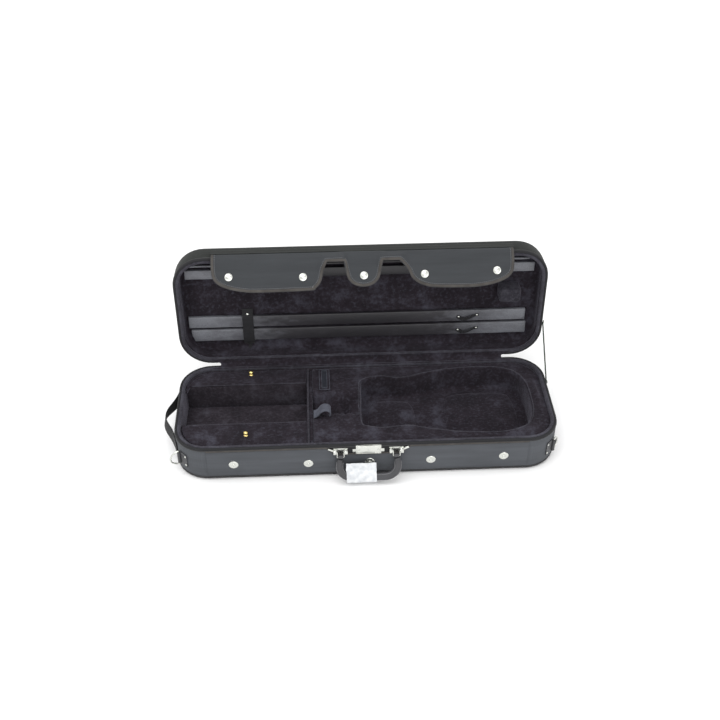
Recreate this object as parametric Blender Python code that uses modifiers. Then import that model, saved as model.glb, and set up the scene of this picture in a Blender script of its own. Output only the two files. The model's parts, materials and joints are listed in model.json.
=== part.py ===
"""Oblong violin case, open, modelled as its separate pieces.

Frame: metres, +Z up. The origin is the centre of the bottom face, +X runs along the case to the end
that holds the violin's body, and +Y runs from the handle to the hinges. The lid is modelled where it
would lie when shut, under an empty on the hinge axis that is turned to the open position.
"""

import math

import bmesh
import bpy
from mathutils import Matrix, Vector

# ---------------------------------------------------------------- driving dimensions
LENGTH = 0.800
WIDTH = 0.266
RIM_HEIGHT = 0.088  # the plane where the base and the shut lid meet
LID_DEPTH = 0.050
CORNER_RADIUS = 0.068
OPEN_ANGLE = math.radians(94)
FIT = 0.0003  # gap between neighbours that touch

COVER = 0.0014  # woven canvas skin
WALL = 0.007
FLOOR = 0.005
BOTTOM_PANEL = 0.008
LIP_WIDTH = 0.011
LIP_HEIGHT = 0.004
LIP_GAP = 0.0004  # half the gap between the two shut lips

FRONT = -WIDTH / 2
BACK = WIDTH / 2
HINGE_Y = BACK + 0.0032
HINGE = Vector((0.0, HINGE_Y, RIM_HEIGHT))

SHELL_INSET = COVER + FIT
INNER_INSET = SHELL_INSET + WALL
LINER_INSET = INNER_INSET + FIT
SHELL_BOTTOM = BOTTOM_PANEL + FIT
FLOOR_TOP = SHELL_BOTTOM + FLOOR
BASE_LIP_BOTTOM = RIM_HEIGHT - LIP_GAP - LIP_HEIGHT
LID_LIP_TOP = RIM_HEIGHT + LIP_GAP + LIP_HEIGHT
LID_TOP = RIM_HEIGHT + LID_DEPTH
BLOCK_TOP = RIM_HEIGHT - 0.010  # top of the velvet blocks round the violin

# inside layout, along X and then along Y
PARTITION_X = -0.1243
NECK_BLOCK_LEFT = -0.112
CAVITY_LEFT = -0.012
TROUGH_FRONT = -0.050
TROUGH_BACK = 0.075
BOX_WALL = 0.004
CENTRELINE = 0.007  # the violin lies a little behind the middle

PANEL_THICK = 0.0012
PANEL_FACE = FRONT - FIT - PANEL_THICK
BACKING_FACE = FRONT - FIT  # where the lock and the handle's lugs are fixed

HANDLE_LEAN = math.radians(18)
FLAP_LEAN = math.radians(40)  # how far forward the stiff flap leans while the lid is open
FLAP_SHUT_LEAN = math.radians(5)
SNAP_X = (-0.278, -0.124, 0.003, 0.130, 0.282)
SNAP_DROP = (0.0445, 0.048, 0.048, 0.048, 0.0445)  # snap centres below the rim
FLAP_SLACK = 0.002  # each cap sits this much lower than its stud, which the cloth takes up

CORNER_STEPS = 8
STEEL_TURN = 16  # sides of small round parts

# ---------------------------------------------------------------- scene set-up


def clear_scene():
    for obj in list(bpy.data.objects):
        bpy.data.objects.remove(obj, do_unlink=True)


def new_collection(name):
    collection = bpy.data.collections.new(name)
    bpy.context.scene.collection.children.link(collection)
    return collection


clear_scene()
PARTS = new_collection("violin_case")
CUTTERS = new_collection("cutters")


def material(name, colour, roughness, metallic=0.0):
    mat = bpy.data.materials.new(name)
    mat.use_nodes = True
    shader = mat.node_tree.nodes["Principled BSDF"]
    shader.inputs["Base Color"].default_value = (*colour, 1.0)
    shader.inputs["Roughness"].default_value = roughness
    shader.inputs["Metallic"].default_value = metallic
    return mat


CANVAS = material("canvas", (0.075, 0.080, 0.095), 0.85)
VINYL = material("vinyl", (0.045, 0.046, 0.052), 0.45)
VELVET = material("velvet", (0.030, 0.026, 0.034), 0.95)
SHELL = material("shell", (0.22, 0.18, 0.13), 0.80)
LEATHER = material("leather", (0.050, 0.050, 0.055), 0.50)
WEBBING = material("webbing", (0.020, 0.020, 0.022), 0.80)
NICKEL = material("nickel", (0.80, 0.81, 0.78), 0.22, 1.0)
BRASS = material("brass", (0.83, 0.68, 0.32), 0.25, 1.0)

# ---------------------------------------------------------------- modelling helpers


def empty(name, location, rotation=(0.0, 0.0, 0.0), parent=None):
    obj = bpy.data.objects.new(name, None)
    obj.location = location
    obj.rotation_euler = rotation
    obj.parent = parent
    PARTS.objects.link(obj)
    return obj


def add(name, mesh, mat, location=(0, 0, 0), rotation=(0, 0, 0), parent=None):
    """Link a piece. Under the lid its location is given where it lies when the lid is shut."""
    obj = bpy.data.objects.new(name, mesh)
    obj.location = Vector(location) - (HINGE if parent is LID else Vector((0, 0, 0)))
    obj.rotation_euler = rotation
    obj.parent = parent
    if mat:
        mesh.materials.append(mat)
    PARTS.objects.link(obj)
    return obj


def as_cutter(obj):
    PARTS.objects.unlink(obj)
    CUTTERS.objects.link(obj)
    obj.hide_render = True
    obj.display_type = "WIRE"
    return obj


def boolean(obj, other, operation="DIFFERENCE"):
    modifier = obj.modifiers.new(operation.lower(), "BOOLEAN")
    modifier.operation = operation
    modifier.object = as_cutter(other)
    return obj


def to_mesh(bm, name):
    mesh = bpy.data.meshes.new(name)
    bm.to_mesh(mesh)
    bm.free()
    return mesh


def block_mesh(size, corner=0.0, steps=CORNER_STEPS, bottom=0.0, top=0.0):
    """A box with rounded upright edges and, if asked, rounded bottom or top edges."""
    bm = bmesh.new()
    bmesh.ops.create_cube(bm, size=1.0)
    bmesh.ops.scale(bm, vec=size, verts=bm.verts)
    if corner:
        upright = [e for e in bm.edges if abs(e.verts[0].co.z - e.verts[1].co.z) > size[2] / 2]
        bmesh.ops.bevel(bm, geom=upright, offset=corner, segments=steps, profile=0.5, affect="EDGES")
    for radius, level in ((bottom, -size[2] / 2), (top, size[2] / 2)):
        if radius:
            ring = [e for e in bm.edges if all(abs(v.co.z - level) < 1e-6 for v in e.verts)]
            bmesh.ops.bevel(bm, geom=ring, offset=radius, segments=3, profile=0.5, affect="EDGES")
    return to_mesh(bm, "block")


def box(name, low, high, mat=None, parent=None, **rounding):
    low, high = Vector(low), Vector(high)
    return add(name, block_mesh(high - low, **rounding), mat, (low + high) / 2, parent=parent)


def slab(name, inset, z_low, z_high, mat=None, parent=None, bottom=0.0, top=0.0):
    """The case's own outline, drawn in by inset, between two heights."""
    low = Vector((-LENGTH / 2 + inset, FRONT + inset, z_low))
    high = Vector((LENGTH / 2 - inset, BACK - inset, z_high))
    return box(name, low, high, mat, parent, corner=CORNER_RADIUS - inset, bottom=bottom, top=top)


def rod_mesh(radius, length, sides=STEEL_TURN, axis="Z"):
    bm = bmesh.new()
    bmesh.ops.create_cone(
        bm, cap_ends=True, segments=sides, radius1=radius, radius2=radius, depth=length
    )
    turn = {"X": Matrix.Rotation(math.pi / 2, 3, "Y"), "Y": Matrix.Rotation(math.pi / 2, 3, "X")}
    if axis in turn:
        bmesh.ops.rotate(bm, cent=(0, 0, 0), matrix=turn[axis], verts=bm.verts)
    return to_mesh(bm, "rod")


def rod(name, centre, radius, length, axis, mat=None, parent=None, sides=STEEL_TURN):
    obj = add(name, rod_mesh(radius, length, sides, axis), mat, centre, parent=parent)
    obj.data.shade_smooth()
    obj.data.set_sharp_from_angle(angle=math.radians(40))
    return obj


def turned(name, profile, mat, location, rotation=(0, 0, 0), parent=None, sides=20):
    """A turned piece: profile is (radius, height), from the top on the axis down its outer side."""
    mesh = bpy.data.meshes.new(name)
    edges = [(i, i + 1) for i in range(len(profile) - 1)]
    mesh.from_pydata([(r, 0.0, z) for r, z in profile], edges, [])
    obj = add(name, mesh, mat, location, rotation, parent)
    screw = obj.modifiers.new("turn", "SCREW")
    screw.steps = sides
    screw.render_steps = sides
    screw.use_merge_vertices = True
    screw.merge_threshold = 0.00002
    return obj


def curve_object(name, points, mat, cyclic=False, kinds=None, resolution=6):
    """A curve through points. kinds marks each point smooth or corner; without it the run is straight."""
    curve = bpy.data.curves.new(name, "CURVE")
    curve.resolution_u = resolution
    if kinds is None:
        spline = curve.splines.new("POLY")
        spline.points.add(len(points) - 1)
        for target, point in zip(spline.points, points):
            target.co = (*point, 1.0) if len(point) == 3 else (*point, 0.0, 1.0)
    else:
        spline = curve.splines.new("BEZIER")
        spline.bezier_points.add(len(points) - 1)
        for target, point, kind in zip(spline.bezier_points, points, kinds):
            target.co = (*point, 0.0)
            target.handle_left_type = target.handle_right_type = "VECTOR" if kind == "corner" else "AUTO"
    spline.use_cyclic_u = cyclic
    return add(name, curve, mat)


def wire(name, points, radius, mat, location=(0, 0, 0), rotation=(0, 0, 0), parent=None, cyclic=False):
    obj = curve_object(name, points, mat, cyclic)
    obj.data.dimensions = "3D"
    obj.data.bevel_depth = radius
    obj.data.bevel_resolution = 2
    obj.data.use_fill_caps = True
    obj.location = location
    obj.rotation_euler = rotation
    obj.parent = parent
    return obj


def plate(name, outline, thickness, mat=None, location=(0, 0, 0), rotation=(0, 0, 0), parent=None,
          kinds=None):
    """A flat piece from a closed outline in its own XY plane, made a mesh so that it can be cut."""
    flat = curve_object(name + "_outline", outline, None, cyclic=True, kinds=kinds)
    flat.data.dimensions = "2D"
    flat.data.fill_mode = "BOTH"
    flat.data.extrude = thickness / 2
    graph = bpy.context.evaluated_depsgraph_get()
    mesh = bpy.data.meshes.new_from_object(flat.evaluated_get(graph))
    bpy.data.objects.remove(flat, do_unlink=True)
    bm = bmesh.new()
    bm.from_mesh(mesh)
    bmesh.ops.remove_doubles(bm, verts=bm.verts, dist=1e-6)
    bmesh.ops.recalc_face_normals(bm, faces=bm.faces)
    mesh.clear_geometry()
    bm.to_mesh(mesh)
    bm.free()
    return add(name, mesh, mat, location, rotation, parent)


def ribbon(name, profile, across, thickness, mat, location=(0, 0, 0), rotation=(0, 0, 0)):
    """A strap: its profile is a list of points, swept along the vector across, then thickened."""
    bm = bmesh.new()
    verts = [bm.verts.new(p) for p in profile]
    edges = [bm.edges.new(pair) for pair in zip(verts, verts[1:])]
    swept = bmesh.ops.extrude_edge_only(bm, edges=edges)["geom"]
    moved = [v for v in swept if isinstance(v, bmesh.types.BMVert)]
    bmesh.ops.translate(bm, vec=across, verts=moved)
    obj = add(name, to_mesh(bm, name), mat, location, rotation)
    solid = obj.modifiers.new("thickness", "SOLIDIFY")
    solid.thickness = thickness
    solid.offset = 0.0
    return obj


def arc(centre, radius, start, end, steps):
    """Points on an arc, angles in degrees."""
    angles = [math.radians(start + (end - start) * i / steps) for i in range(steps + 1)]
    return [(centre[0] + radius * math.cos(a), centre[1] + radius * math.sin(a)) for a in angles]


LID = empty("lid_hinge_axis", HINGE, (-OPEN_ANGLE, 0.0, 0.0))

# ---------------------------------------------------------------- base: shell, cover, lip


def build_base():
    slab("base_bottom_panel", 0.0, 0.0, BOTTOM_PANEL, CANVAS, bottom=0.0065)

    shell = slab("base_shell", SHELL_INSET, SHELL_BOTTOM, BASE_LIP_BOTTOM - FIT, SHELL)
    boolean(shell, slab("base_hollow", INNER_INSET, FLOOR_TOP, RIM_HEIGHT + 0.01))

    cover = slab("base_side_cover", 0.0, SHELL_BOTTOM, BASE_LIP_BOTTOM - FIT, CANVAS)
    boolean(cover, slab("base_cover_hollow", COVER, 0.0, RIM_HEIGHT + 0.01))

    lip = slab("base_rim_lip", 0.0, BASE_LIP_BOTTOM, RIM_HEIGHT - LIP_GAP, VELVET, top=0.0015)
    boolean(lip, slab("base_lip_hollow", LIP_WIDTH, 0.0, RIM_HEIGHT + 0.01))


def build_front_panel():
    """Canvas on the front wall. Its top edge dips where the black handle and lock zone shows."""
    half = LENGTH / 2 - CORNER_RADIUS
    low, high, dip = 0.012, BASE_LIP_BOTTOM - 0.001, 0.0635
    shoulder, foot = 0.090, 0.0725
    outline = [
        (-half, low), (half, low), (half, high), (shoulder, high), (shoulder - 0.008, high - 0.005),
        (foot, dip + 0.002), (foot - 0.012, dip), (-foot + 0.012, dip), (-foot, dip + 0.002),
        (-shoulder + 0.008, high - 0.005), (-shoulder, high), (-half, high),
    ]
    plate(
        "front_panel", outline, PANEL_THICK, CANVAS,
        location=(0, FRONT - FIT - PANEL_THICK / 2, 0), rotation=(math.pi / 2, 0, 0),
    )


# ---------------------------------------------------------------- base: inside


def violin_outline():
    """Half-widths along the hollow, left end to right end, smoothed into one closed outline."""
    stations = (
        (CAVITY_LEFT, 0.050), (CAVITY_LEFT + 0.008, 0.074), (0.036, 0.084), (0.088, 0.078),
        (0.142, 0.092), (0.200, 0.103), (0.255, 0.106), (0.305, 0.102), (0.340, 0.085), (0.358, 0.050),
    )
    front = [(x, CENTRELINE - half) for x, half in stations]
    back = [(x, CENTRELINE + half) for x, half in reversed(stations)]
    return front + [(0.362, CENTRELINE)] + back


def neck_valley(name, x, length):
    """The round channel that the neck lies in, cut from each block that it crosses."""
    return rod(name, (x, CENTRELINE, BLOCK_TOP + 0.004), 0.034, length, "X", sides=24)


def build_cradle():
    """The block round the violin. Returns the x of its left face, where the neck block meets it."""
    cavity_floor = FLOOR_TOP + FIT + 0.010
    cradle = slab("cradle_block", LINER_INSET, FLOOR_TOP + FIT, BLOCK_TOP, VELVET, top=0.004)
    beyond = LENGTH / 2 + 0.01
    left_of_cradle = CAVITY_LEFT - 0.010
    boolean(cradle, box("left_of_cradle", (-beyond, -0.2, 0), (left_of_cradle, 0.2, 0.2)))
    outline = violin_outline()
    depth = BLOCK_TOP + 0.02 - cavity_floor
    hollow = plate(
        "violin_hollow", outline, depth, location=(0, 0, cavity_floor + depth / 2),
        kinds=["smooth"] * len(outline),
    )
    boolean(cradle, hollow)
    boolean(cradle, neck_valley("cradle_valley", left_of_cradle + 0.005, 0.016))

    pad_top = cavity_floor + FIT + 0.003
    for name, x_low, x_high, half in (
        ("upper_bout_pad", 0.006, 0.112, 0.060), ("lower_bout_pad", 0.175, 0.335, 0.078),
    ):
        box(
            name, (x_low, CENTRELINE - half, cavity_floor + FIT), (x_high, CENTRELINE + half, pad_top),
            VELVET, corner=0.035, top=0.0015,
        )
    return left_of_cradle


def build_neck_block(right_edge):
    """Block between the cradle and the accessory boxes, with the round valley that the neck lies in."""
    block = slab("neck_block", LINER_INSET, FLOOR_TOP + FIT, BLOCK_TOP, VELVET, top=0.004)
    far = LENGTH / 2 + 0.01
    boolean(block, box("right_of_neck", (right_edge - FIT, -0.2, 0), (far, 0.2, 0.2)))
    boolean(block, box("left_of_neck", (-far, -0.2, 0), (NECK_BLOCK_LEFT, 0.2, 0.2)))
    boolean(block, neck_valley("block_valley", (NECK_BLOCK_LEFT + right_edge) / 2, 0.3))


def build_accessory_boxes():
    left = -LENGTH / 2 + INNER_INSET + 0.0010
    right = PARTITION_X - FIT
    low = FLOOR_TOP + FIT
    inner_half = WIDTH / 2 - LINER_INSET
    lid_low, lid_high = 0.0760, 0.0790
    wall_top = lid_low - FIT

    box(
        "accessory_partition", (PARTITION_X, -inner_half, low),
        (PARTITION_X + BOX_WALL, inner_half, BLOCK_TOP), VELVET,
    )
    for word, x_low, y_low in (
        ("front", left, TROUGH_FRONT - BOX_WALL), ("back", left + 0.002, TROUGH_BACK),
    ):
        box(f"{word}_box_wall", (x_low, y_low, low), (right, y_low + BOX_WALL, wall_top), VELVET)

    far = LENGTH / 2 + 0.01
    lid_inset = LIP_WIDTH + 0.0015
    lid_x, lid_y = LENGTH / 2 - lid_inset, WIDTH / 2 - lid_inset
    lid_corner = 0.068  # round enough to swing up past the rim's lip in the case's corner
    edge = 0.0005  # each lid covers its box wall and stops just past it
    for name, keep_out_low, keep_out_high, knob in (
        ("front_box", TROUGH_FRONT + edge, 0.2, (-0.252, -0.086)),
        ("back_box", -0.2, TROUGH_BACK - edge, (-0.247, 0.107)),
    ):
        lid = box(
            name + "_lid", (-lid_x, -lid_y, lid_low), (lid_x, lid_y, lid_high), VELVET,
            corner=lid_corner, top=0.001,
        )
        side_low, side_high = (-far, keep_out_low, 0), (right + 0.01, keep_out_high, 0.2)
        boolean(lid, box(name + "_beyond_right", (right - 0.0005, -0.3, 0), (far, 0.3, 0.2)))
        boolean(lid, box(name + "_beyond_side", side_low, side_high))
        turned(
            name + "_knob",
            [(0, 0.0105), (0.0026, 0.0100), (0.0046, 0.0085), (0.0050, 0.0065), (0.0040, 0.0050),
             (0.0022, 0.0038), (0.0022, 0.0020), (0.0038, 0.0008), (0.0040, 0.0), (0, 0.0)],
            BRASS, (*knob, lid_high + FIT), sides=16,
        )


def build_neck_straps():
    """The back strap lies flat over the block. The front one stands up and curls over at its end."""
    strap_x = -0.098
    top = BLOCK_TOP + FIT
    box(
        "neck_strap_back", (strap_x, 0.046, top), (strap_x + 0.025, 0.119, top + 0.0025),
        WEBBING, corner=0.004, steps=3,
    )
    foot = [(-0.110, BLOCK_TOP + 0.0020), (-0.104, BLOCK_TOP + 0.0035)]
    curl = arc((-0.086, BLOCK_TOP + 0.0095), 0.0115, 165, -30, 12)
    profile = [(x, 0.0, z) for x, z in foot + curl]
    ribbon("neck_strap_front", profile, (0, 0.024, 0), 0.002, WEBBING, location=(0, -0.042, 0))


# ---------------------------------------------------------------- front hardware

TONGUE_END = RIM_HEIGHT - 0.0040  # how far the hasp's tongue reaches into the lock
BAIL_Y = -0.1405
BAIL_Z = 0.0738
BAIL_DROP = 0.011
BAIL_WIRE = 0.0012
BAIL_X = 0.0575  # middle of each bail, left and right of the case's middle
BAIL_HALF = 0.007
LUG_INNER = 0.0430
LUG_OUTER = 0.0720


def build_lock():
    """Lock body with a slot in its top for the hasp's tongue, and a bar that slides behind its face."""
    low, high, half = 0.0650, 0.0868, 0.026
    depth = 0.0040
    bar_low, bar_high = 0.0686, 0.0772
    slot_floor = TONGUE_END - 0.0006
    back = BACKING_FACE
    body = box("lock_plate", (-half, back - depth, low), (half, back, high), NICKEL)
    for name, cut_low, cut_high in (
        ("tongue_slot", (-0.0075, back - 0.0028, slot_floor), (0.0075, back - 0.0006, high + 0.01)),
        ("bar_channel", (-0.05, back - 0.0026, bar_low - 0.0004), (0.05, back + 0.01, bar_high + 0.0004)),
        ("keyhole", (-0.0008, back - 0.0100, 0.0715), (0.0008, back - 0.0034, 0.0770)),
    ):
        boolean(body, box(name, cut_low, cut_high))
    box("lock_slider", (-0.0325, back - 0.0022, bar_low), (0.0325, back - 0.0004, bar_high), NICKEL)


def build_handle():
    """Lugs on the case, a wire bail turning in each, and the handle that turns on both bails."""
    bails = empty("bail_axis", (0, BAIL_Y, BAIL_Z), (math.pi / 2 - HANDLE_LEAN, 0, 0))
    for word, side in (("left", -1), ("right", 1)):
        build_lug(word, side)
        centre = side * BAIL_X
        reach = 0.0130
        points = [
            (centre - reach, 0, 0), (centre - BAIL_HALF, 0, 0), (centre - BAIL_HALF, -BAIL_DROP, 0),
            (centre + BAIL_HALF, -BAIL_DROP, 0), (centre + BAIL_HALF, 0, 0), (centre + reach, 0, 0),
        ]
        wire(f"handle_bail_{word}", points, BAIL_WIRE, NICKEL, parent=bails)
    build_grip(bails)


def build_lug(word, side):
    back = BACKING_FACE
    face = BAIL_Y - 0.0022
    low, high = BAIL_Z - 0.0052, BAIL_Z + 0.0055
    post_top = BAIL_Z + 0.0028  # under the flap's band when the lid is shut
    inner_x, outer_x = side * LUG_INNER, side * LUG_OUTER
    lug = box(
        f"handle_lug_{word}", (min(inner_x, outer_x), back - 0.0010, low),
        (max(inner_x, outer_x), back, high), NICKEL,
    )
    for index, x in enumerate((side * (LUG_INNER + 0.003), side * (LUG_OUTER - 0.003))):
        post_low = (x - 0.003, face, low + 0.0008)
        post_high = (x + 0.003, back - 0.0005, post_top)
        post = box(f"lug_post_{word}_{index}", post_low, post_high)
        boolean(lug, post, "UNION")
    arm_turn = (0, -side * math.radians(28), 0)
    arm = add(f"lug_arm_{word}", block_mesh(Vector((0.014, 0.0024, 0.0040))), None,
              (side * 0.0765, back - 0.0030, BAIL_Z + 0.0035), arm_turn)
    boolean(lug, arm, "UNION")
    boolean(lug, rod(f"lug_bore_{word}", (side * BAIL_X, BAIL_Y, BAIL_Z), BAIL_WIRE + FIT, 0.0270, "X"))


def build_grip(bails):
    """A flat leather U whose two ends wrap round the bails. Its own axis is the bails' lower bar."""
    axis = empty("handle_axis", (0, -BAIL_DROP, 0), parent=bails)
    outer_x, inner_x = 0.0695, 0.0515
    top, bottom, inner_bottom = -0.0034, -0.0562, -0.0382
    outer_r, inner_r = 0.034, 0.018
    right = arc((outer_x - outer_r, bottom + outer_r), outer_r, -90, 0, 8)
    left = [(-x, y) for x, y in reversed(right)]
    inner_right = arc((inner_x - inner_r, inner_bottom + inner_r), inner_r, 0, -90, 6)
    inner_left = [(-x, y) for x, y in reversed(inner_right)]
    outer = [(-outer_x, top), *left, *right, (outer_x, top)]
    outline = [*outer, (inner_x, top), *inner_right, *inner_left, (-inner_x, top)]
    grip = plate("handle_grip", outline, 0.0100, LEATHER, parent=axis)
    for side in (-1, 1):
        loop = rod(f"grip_loop_{side}", (side * BAIL_X, 0, 0), 0.0042, 0.0105, "X", parent=axis)
        boolean(grip, loop, "UNION")
    for side in (-1, 1):
        bore = rod(f"grip_bore_{side}", (side * BAIL_X, 0, 0), BAIL_WIRE + FIT, 0.02, "X", parent=axis)
        boolean(grip, bore)


def build_snap_studs():
    profile = [
        (0, 0.0034), (0.0024, 0.0032), (0.0034, 0.0024), (0.0042, 0.0019), (0.0078, 0.0019),
        (0.0098, 0.0010), (0.0100, 0.0), (0, 0.0),
    ]
    for index, (x, drop) in enumerate(zip(SNAP_X, SNAP_DROP), start=1):
        place = (x, PANEL_FACE - FIT, RIM_HEIGHT - drop)
        turned(f"snap_stud_{index}", profile, NICKEL, place, (math.pi / 2, 0, 0))


# ---------------------------------------------------------------- rings and end handle

RING_WIRE = 0.0018
RING_HALF = 0.017
RING_DEPTH = 0.019
TAB_Z = 0.043


def build_strap_rings():
    """A leather tab on each front corner, square to its 45 degree line, holding a D-ring upright."""
    for word, side in (("left", -1), ("right", 1)):
        facing = math.radians(-90 + 45 * side)
        corner = (side * (LENGTH / 2 - CORNER_RADIUS), FRONT + CORNER_RADIUS, TAB_Z)
        frame = empty(f"corner_frame_{word}", corner, (0, 0, facing))
        near = CORNER_RADIUS + FIT
        tab = add(f"ring_tab_{word}", block_mesh(Vector((0.0020, 0.0200, 0.0340))), LEATHER,
                  (near + 0.0010, side * 0.0010, 0), parent=frame)
        barrel_at = (near + 0.0036, side * 0.0125, 0)
        boolean(tab, rod(f"tab_barrel_{word}", barrel_at, 0.0036, 0.0290, "Z", parent=frame), "UNION")
        boolean(tab, rod(f"tab_bore_{word}", barrel_at, RING_WIRE + FIT, 0.05, "Z", parent=frame))

        leaning = math.radians(55) if side > 0 else math.radians(205)
        ring_axis = empty(f"ring_axis_{word}", barrel_at, (0, 0, leaning - facing), parent=frame)
        bend = [(RING_DEPTH * math.cos(a), 0, RING_HALF * math.sin(a))
                for a in (math.radians(90 - 15 * i) for i in range(1, 12))]
        points = [(0, 0, -RING_HALF), (0, 0, 0), (0, 0, RING_HALF), *bend]
        wire(f"d_ring_{word}", points, RING_WIRE, NICKEL, parent=ring_axis, cyclic=True)


def end_wall(y, out):
    """x of the left end's wall at y, round its corners too, for a skin that lies this far out of it."""
    round_y = WIDTH / 2 - CORNER_RADIUS
    past = max(0.0, abs(y) - round_y)
    return -(LENGTH / 2 - CORNER_RADIUS) - math.sqrt((CORNER_RADIUS + out) ** 2 - past ** 2)


def build_end_handle():
    """A webbing loop on the left end: its ends lie on the wall and its bowed middle is to grasp."""
    thick, bulge = 0.0025, 0.027
    back_end, front_end, flat = 0.078, -0.082, 0.012
    middle, half = (back_end + front_end) / 2, (back_end - front_end) / 2
    out = FIT + thick / 2
    steps = 20
    bow = []
    for i in range(steps + 1):
        u = -1 + 2 * i / steps
        y = middle + half * u
        bow.append((end_wall(y, out) - bulge * 0.5 * (1 + math.cos(math.pi * u)), y, 0))
    first, last = front_end - flat, back_end + flat
    profile = [(end_wall(first, out), first, 0), *bow, (end_wall(last, out), last, 0)]
    ribbon("end_handle", profile, (0, 0, 0.036), thick, WEBBING, location=(0, 0, 0.036))


# ---------------------------------------------------------------- hinges and stay cord

LEAF_THICK = 0.0012
BARREL = 0.0026
PIN = 0.0012


def build_hinges():
    """Two butt hinges on the back faces, each with two outer knuckles on the base and one on the lid."""
    half = 0.020
    third = half / 3
    knuckles = {
        "base": ((-half, -third - FIT), (third + FIT, half)),
        "lid": ((-third + FIT, third - FIT),),
    }
    for index, x in enumerate((-0.215, 0.215), start=1):
        for word, parent, low, high in (
            ("base", None, RIM_HEIGHT - 0.024, RIM_HEIGHT - LIP_GAP),
            ("lid", LID, RIM_HEIGHT + LIP_GAP, RIM_HEIGHT + 0.024),
        ):
            near = BACK + FIT
            leaf = box(
                f"hinge_leaf_{word}_{index}", (x - half, near, low),
                (x + half, near + LEAF_THICK, high), NICKEL, parent,
            )
            other = knuckles["lid" if word == "base" else "base"]
            for n, (start, end) in enumerate(other):
                room = BARREL + FIT
                room_low = (x + start - FIT, BACK - 0.01, RIM_HEIGHT - room)
                room_high = (x + end + FIT, HINGE_Y + 0.01, RIM_HEIGHT + room)
                boolean(leaf, box(f"knuckle_room_{word}_{index}_{n}", room_low, room_high, None, parent))
            for n, (start, end) in enumerate(knuckles[word]):
                centre = (x + (start + end) / 2, HINGE_Y, RIM_HEIGHT)
                name = f"knuckle_{word}_{index}_{n}"
                boolean(leaf, rod(name, centre, BARREL, end - start, "X", parent=parent), "UNION")
            pin_place = (x, HINGE_Y, RIM_HEIGHT)
            boolean(leaf, rod(f"leaf_bore_{word}_{index}", pin_place, PIN + FIT, 0.1, "X", parent=parent))
        rod(f"hinge_pin_{index}", (x, HINGE_Y, RIM_HEIGHT), PIN, 2 * half, "X", NICKEL)


STAY_X = LENGTH / 2 + 0.0022
STAY_BASE = Vector((STAY_X, 0.050, RIM_HEIGHT - 0.0075))
STAY_LID_SHUT = Vector((STAY_X, 0.051, RIM_HEIGHT + 0.0075))


def opened(point):
    """Where a point of the shut lid goes when the lid stands open."""
    return HINGE + Matrix.Rotation(-OPEN_ANGLE, 3, "X") @ (Vector(point) - HINGE)


def build_stay_cord():
    """A taut cord outside the right end, tied round a small screw on each half."""
    start, end = STAY_BASE, opened(STAY_LID_SHUT)
    steps = 20
    points = [tuple(start.lerp(end, i / steps)) for i in range(steps + 1)]
    wire("stay_cord", points, 0.0015, WEBBING)


# ---------------------------------------------------------------- lid


def build_lid():
    top = LID_TOP
    cover = slab("lid_cover", 0.0, LID_LIP_TOP + FIT, top, CANVAS, LID, top=0.0080)
    boolean(cover, slab("lid_cover_hollow", COVER, RIM_HEIGHT - 0.02, top - COVER, None, LID, top=0.0066))
    shell = slab("lid_shell", SHELL_INSET, LID_LIP_TOP + FIT, top - SHELL_INSET, SHELL, LID, top=0.0063)
    boolean(shell, slab("lid_hollow", INNER_INSET, RIM_HEIGHT - 0.02, top - SHELL_INSET - FLOOR, None, LID))
    lip = slab("lid_rim_lip", 0.0, RIM_HEIGHT + LIP_GAP, LID_LIP_TOP, VELVET, LID, bottom=0.0015)
    boolean(lip, slab("lid_lip_hollow", LIP_WIDTH, RIM_HEIGHT - 0.02, top, None, LID))

    liner_top = top - SHELL_INSET - FLOOR - FIT
    liner_low = liner_top - 0.004
    slab("lid_liner", LINER_INSET + 0.0006, liner_low, liner_top, VELVET, LID, bottom=0.002)
    build_bow_fittings(liner_low - FIT)

    pocket = 0.016
    slab("music_pocket", pocket, top + FIT, top + 0.0105, CANVAS, LID, top=0.0035)
    y_face = FRONT + pocket - FIT
    box("zip_slider", (-0.306, y_face - 0.0042, top + 0.0032), (-0.294, y_face, top + 0.0082), NICKEL, LID)


def build_bow_fittings(top):
    """Flat vinyl-covered rails that the bows lie along, the tip strap across them, and the frog pad."""
    rail = 0.008
    rails = ((0.045, 0.028, -0.380, 0.366), (0.0795, 0.029, -0.376, 0.370), (-0.077, 0.022, -0.378, 0.376))
    for index, (y, width, x_low, x_high) in enumerate(rails, start=1):
        box(
            f"bow_rail_{index}", (x_low, y - width / 2, top - rail), (x_high, y + width / 2, top),
            VINYL, LID, bottom=0.0015,
        )
    strap = top - rail - FIT
    box(
        "bow_tip_strap", (-0.263, 0.0220, strap - 0.002), (-0.237, 0.1040, strap),
        WEBBING, LID, corner=0.003, steps=3,
    )
    box(
        "frog_pad", (0.300, -0.038, RIM_HEIGHT + 0.0015), (0.346, -0.006, top),
        VELVET, LID, corner=0.004, bottom=0.003,
    )


def build_hasp():
    """A plate on the lid's front wall with a tongue that drops into the lock's slot."""
    near = FRONT - FIT
    low = LID_LIP_TOP + 0.001
    plate_low, plate_high = (-0.016, near - 0.0014, low), (0.016, near, low + 0.018)
    tongue_low, tongue_high = (-0.006, near - 0.0022, TONGUE_END), (0.006, near - 0.0010, low + 0.005)
    hasp = box("hasp", plate_low, plate_high, NICKEL, LID)
    boolean(hasp, box("hasp_tongue", tongue_low, tongue_high, None, LID), "UNION")


FLAP_SHUT = Vector((0.0, FRONT - 0.0070, RIM_HEIGHT - 0.0045))
FLAP_THICK = 0.0030
FLAP_TOP = -0.0008
FLAP_NOTCH = -0.0058  # the band's lower edge, which passes just over the handle's lugs


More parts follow.
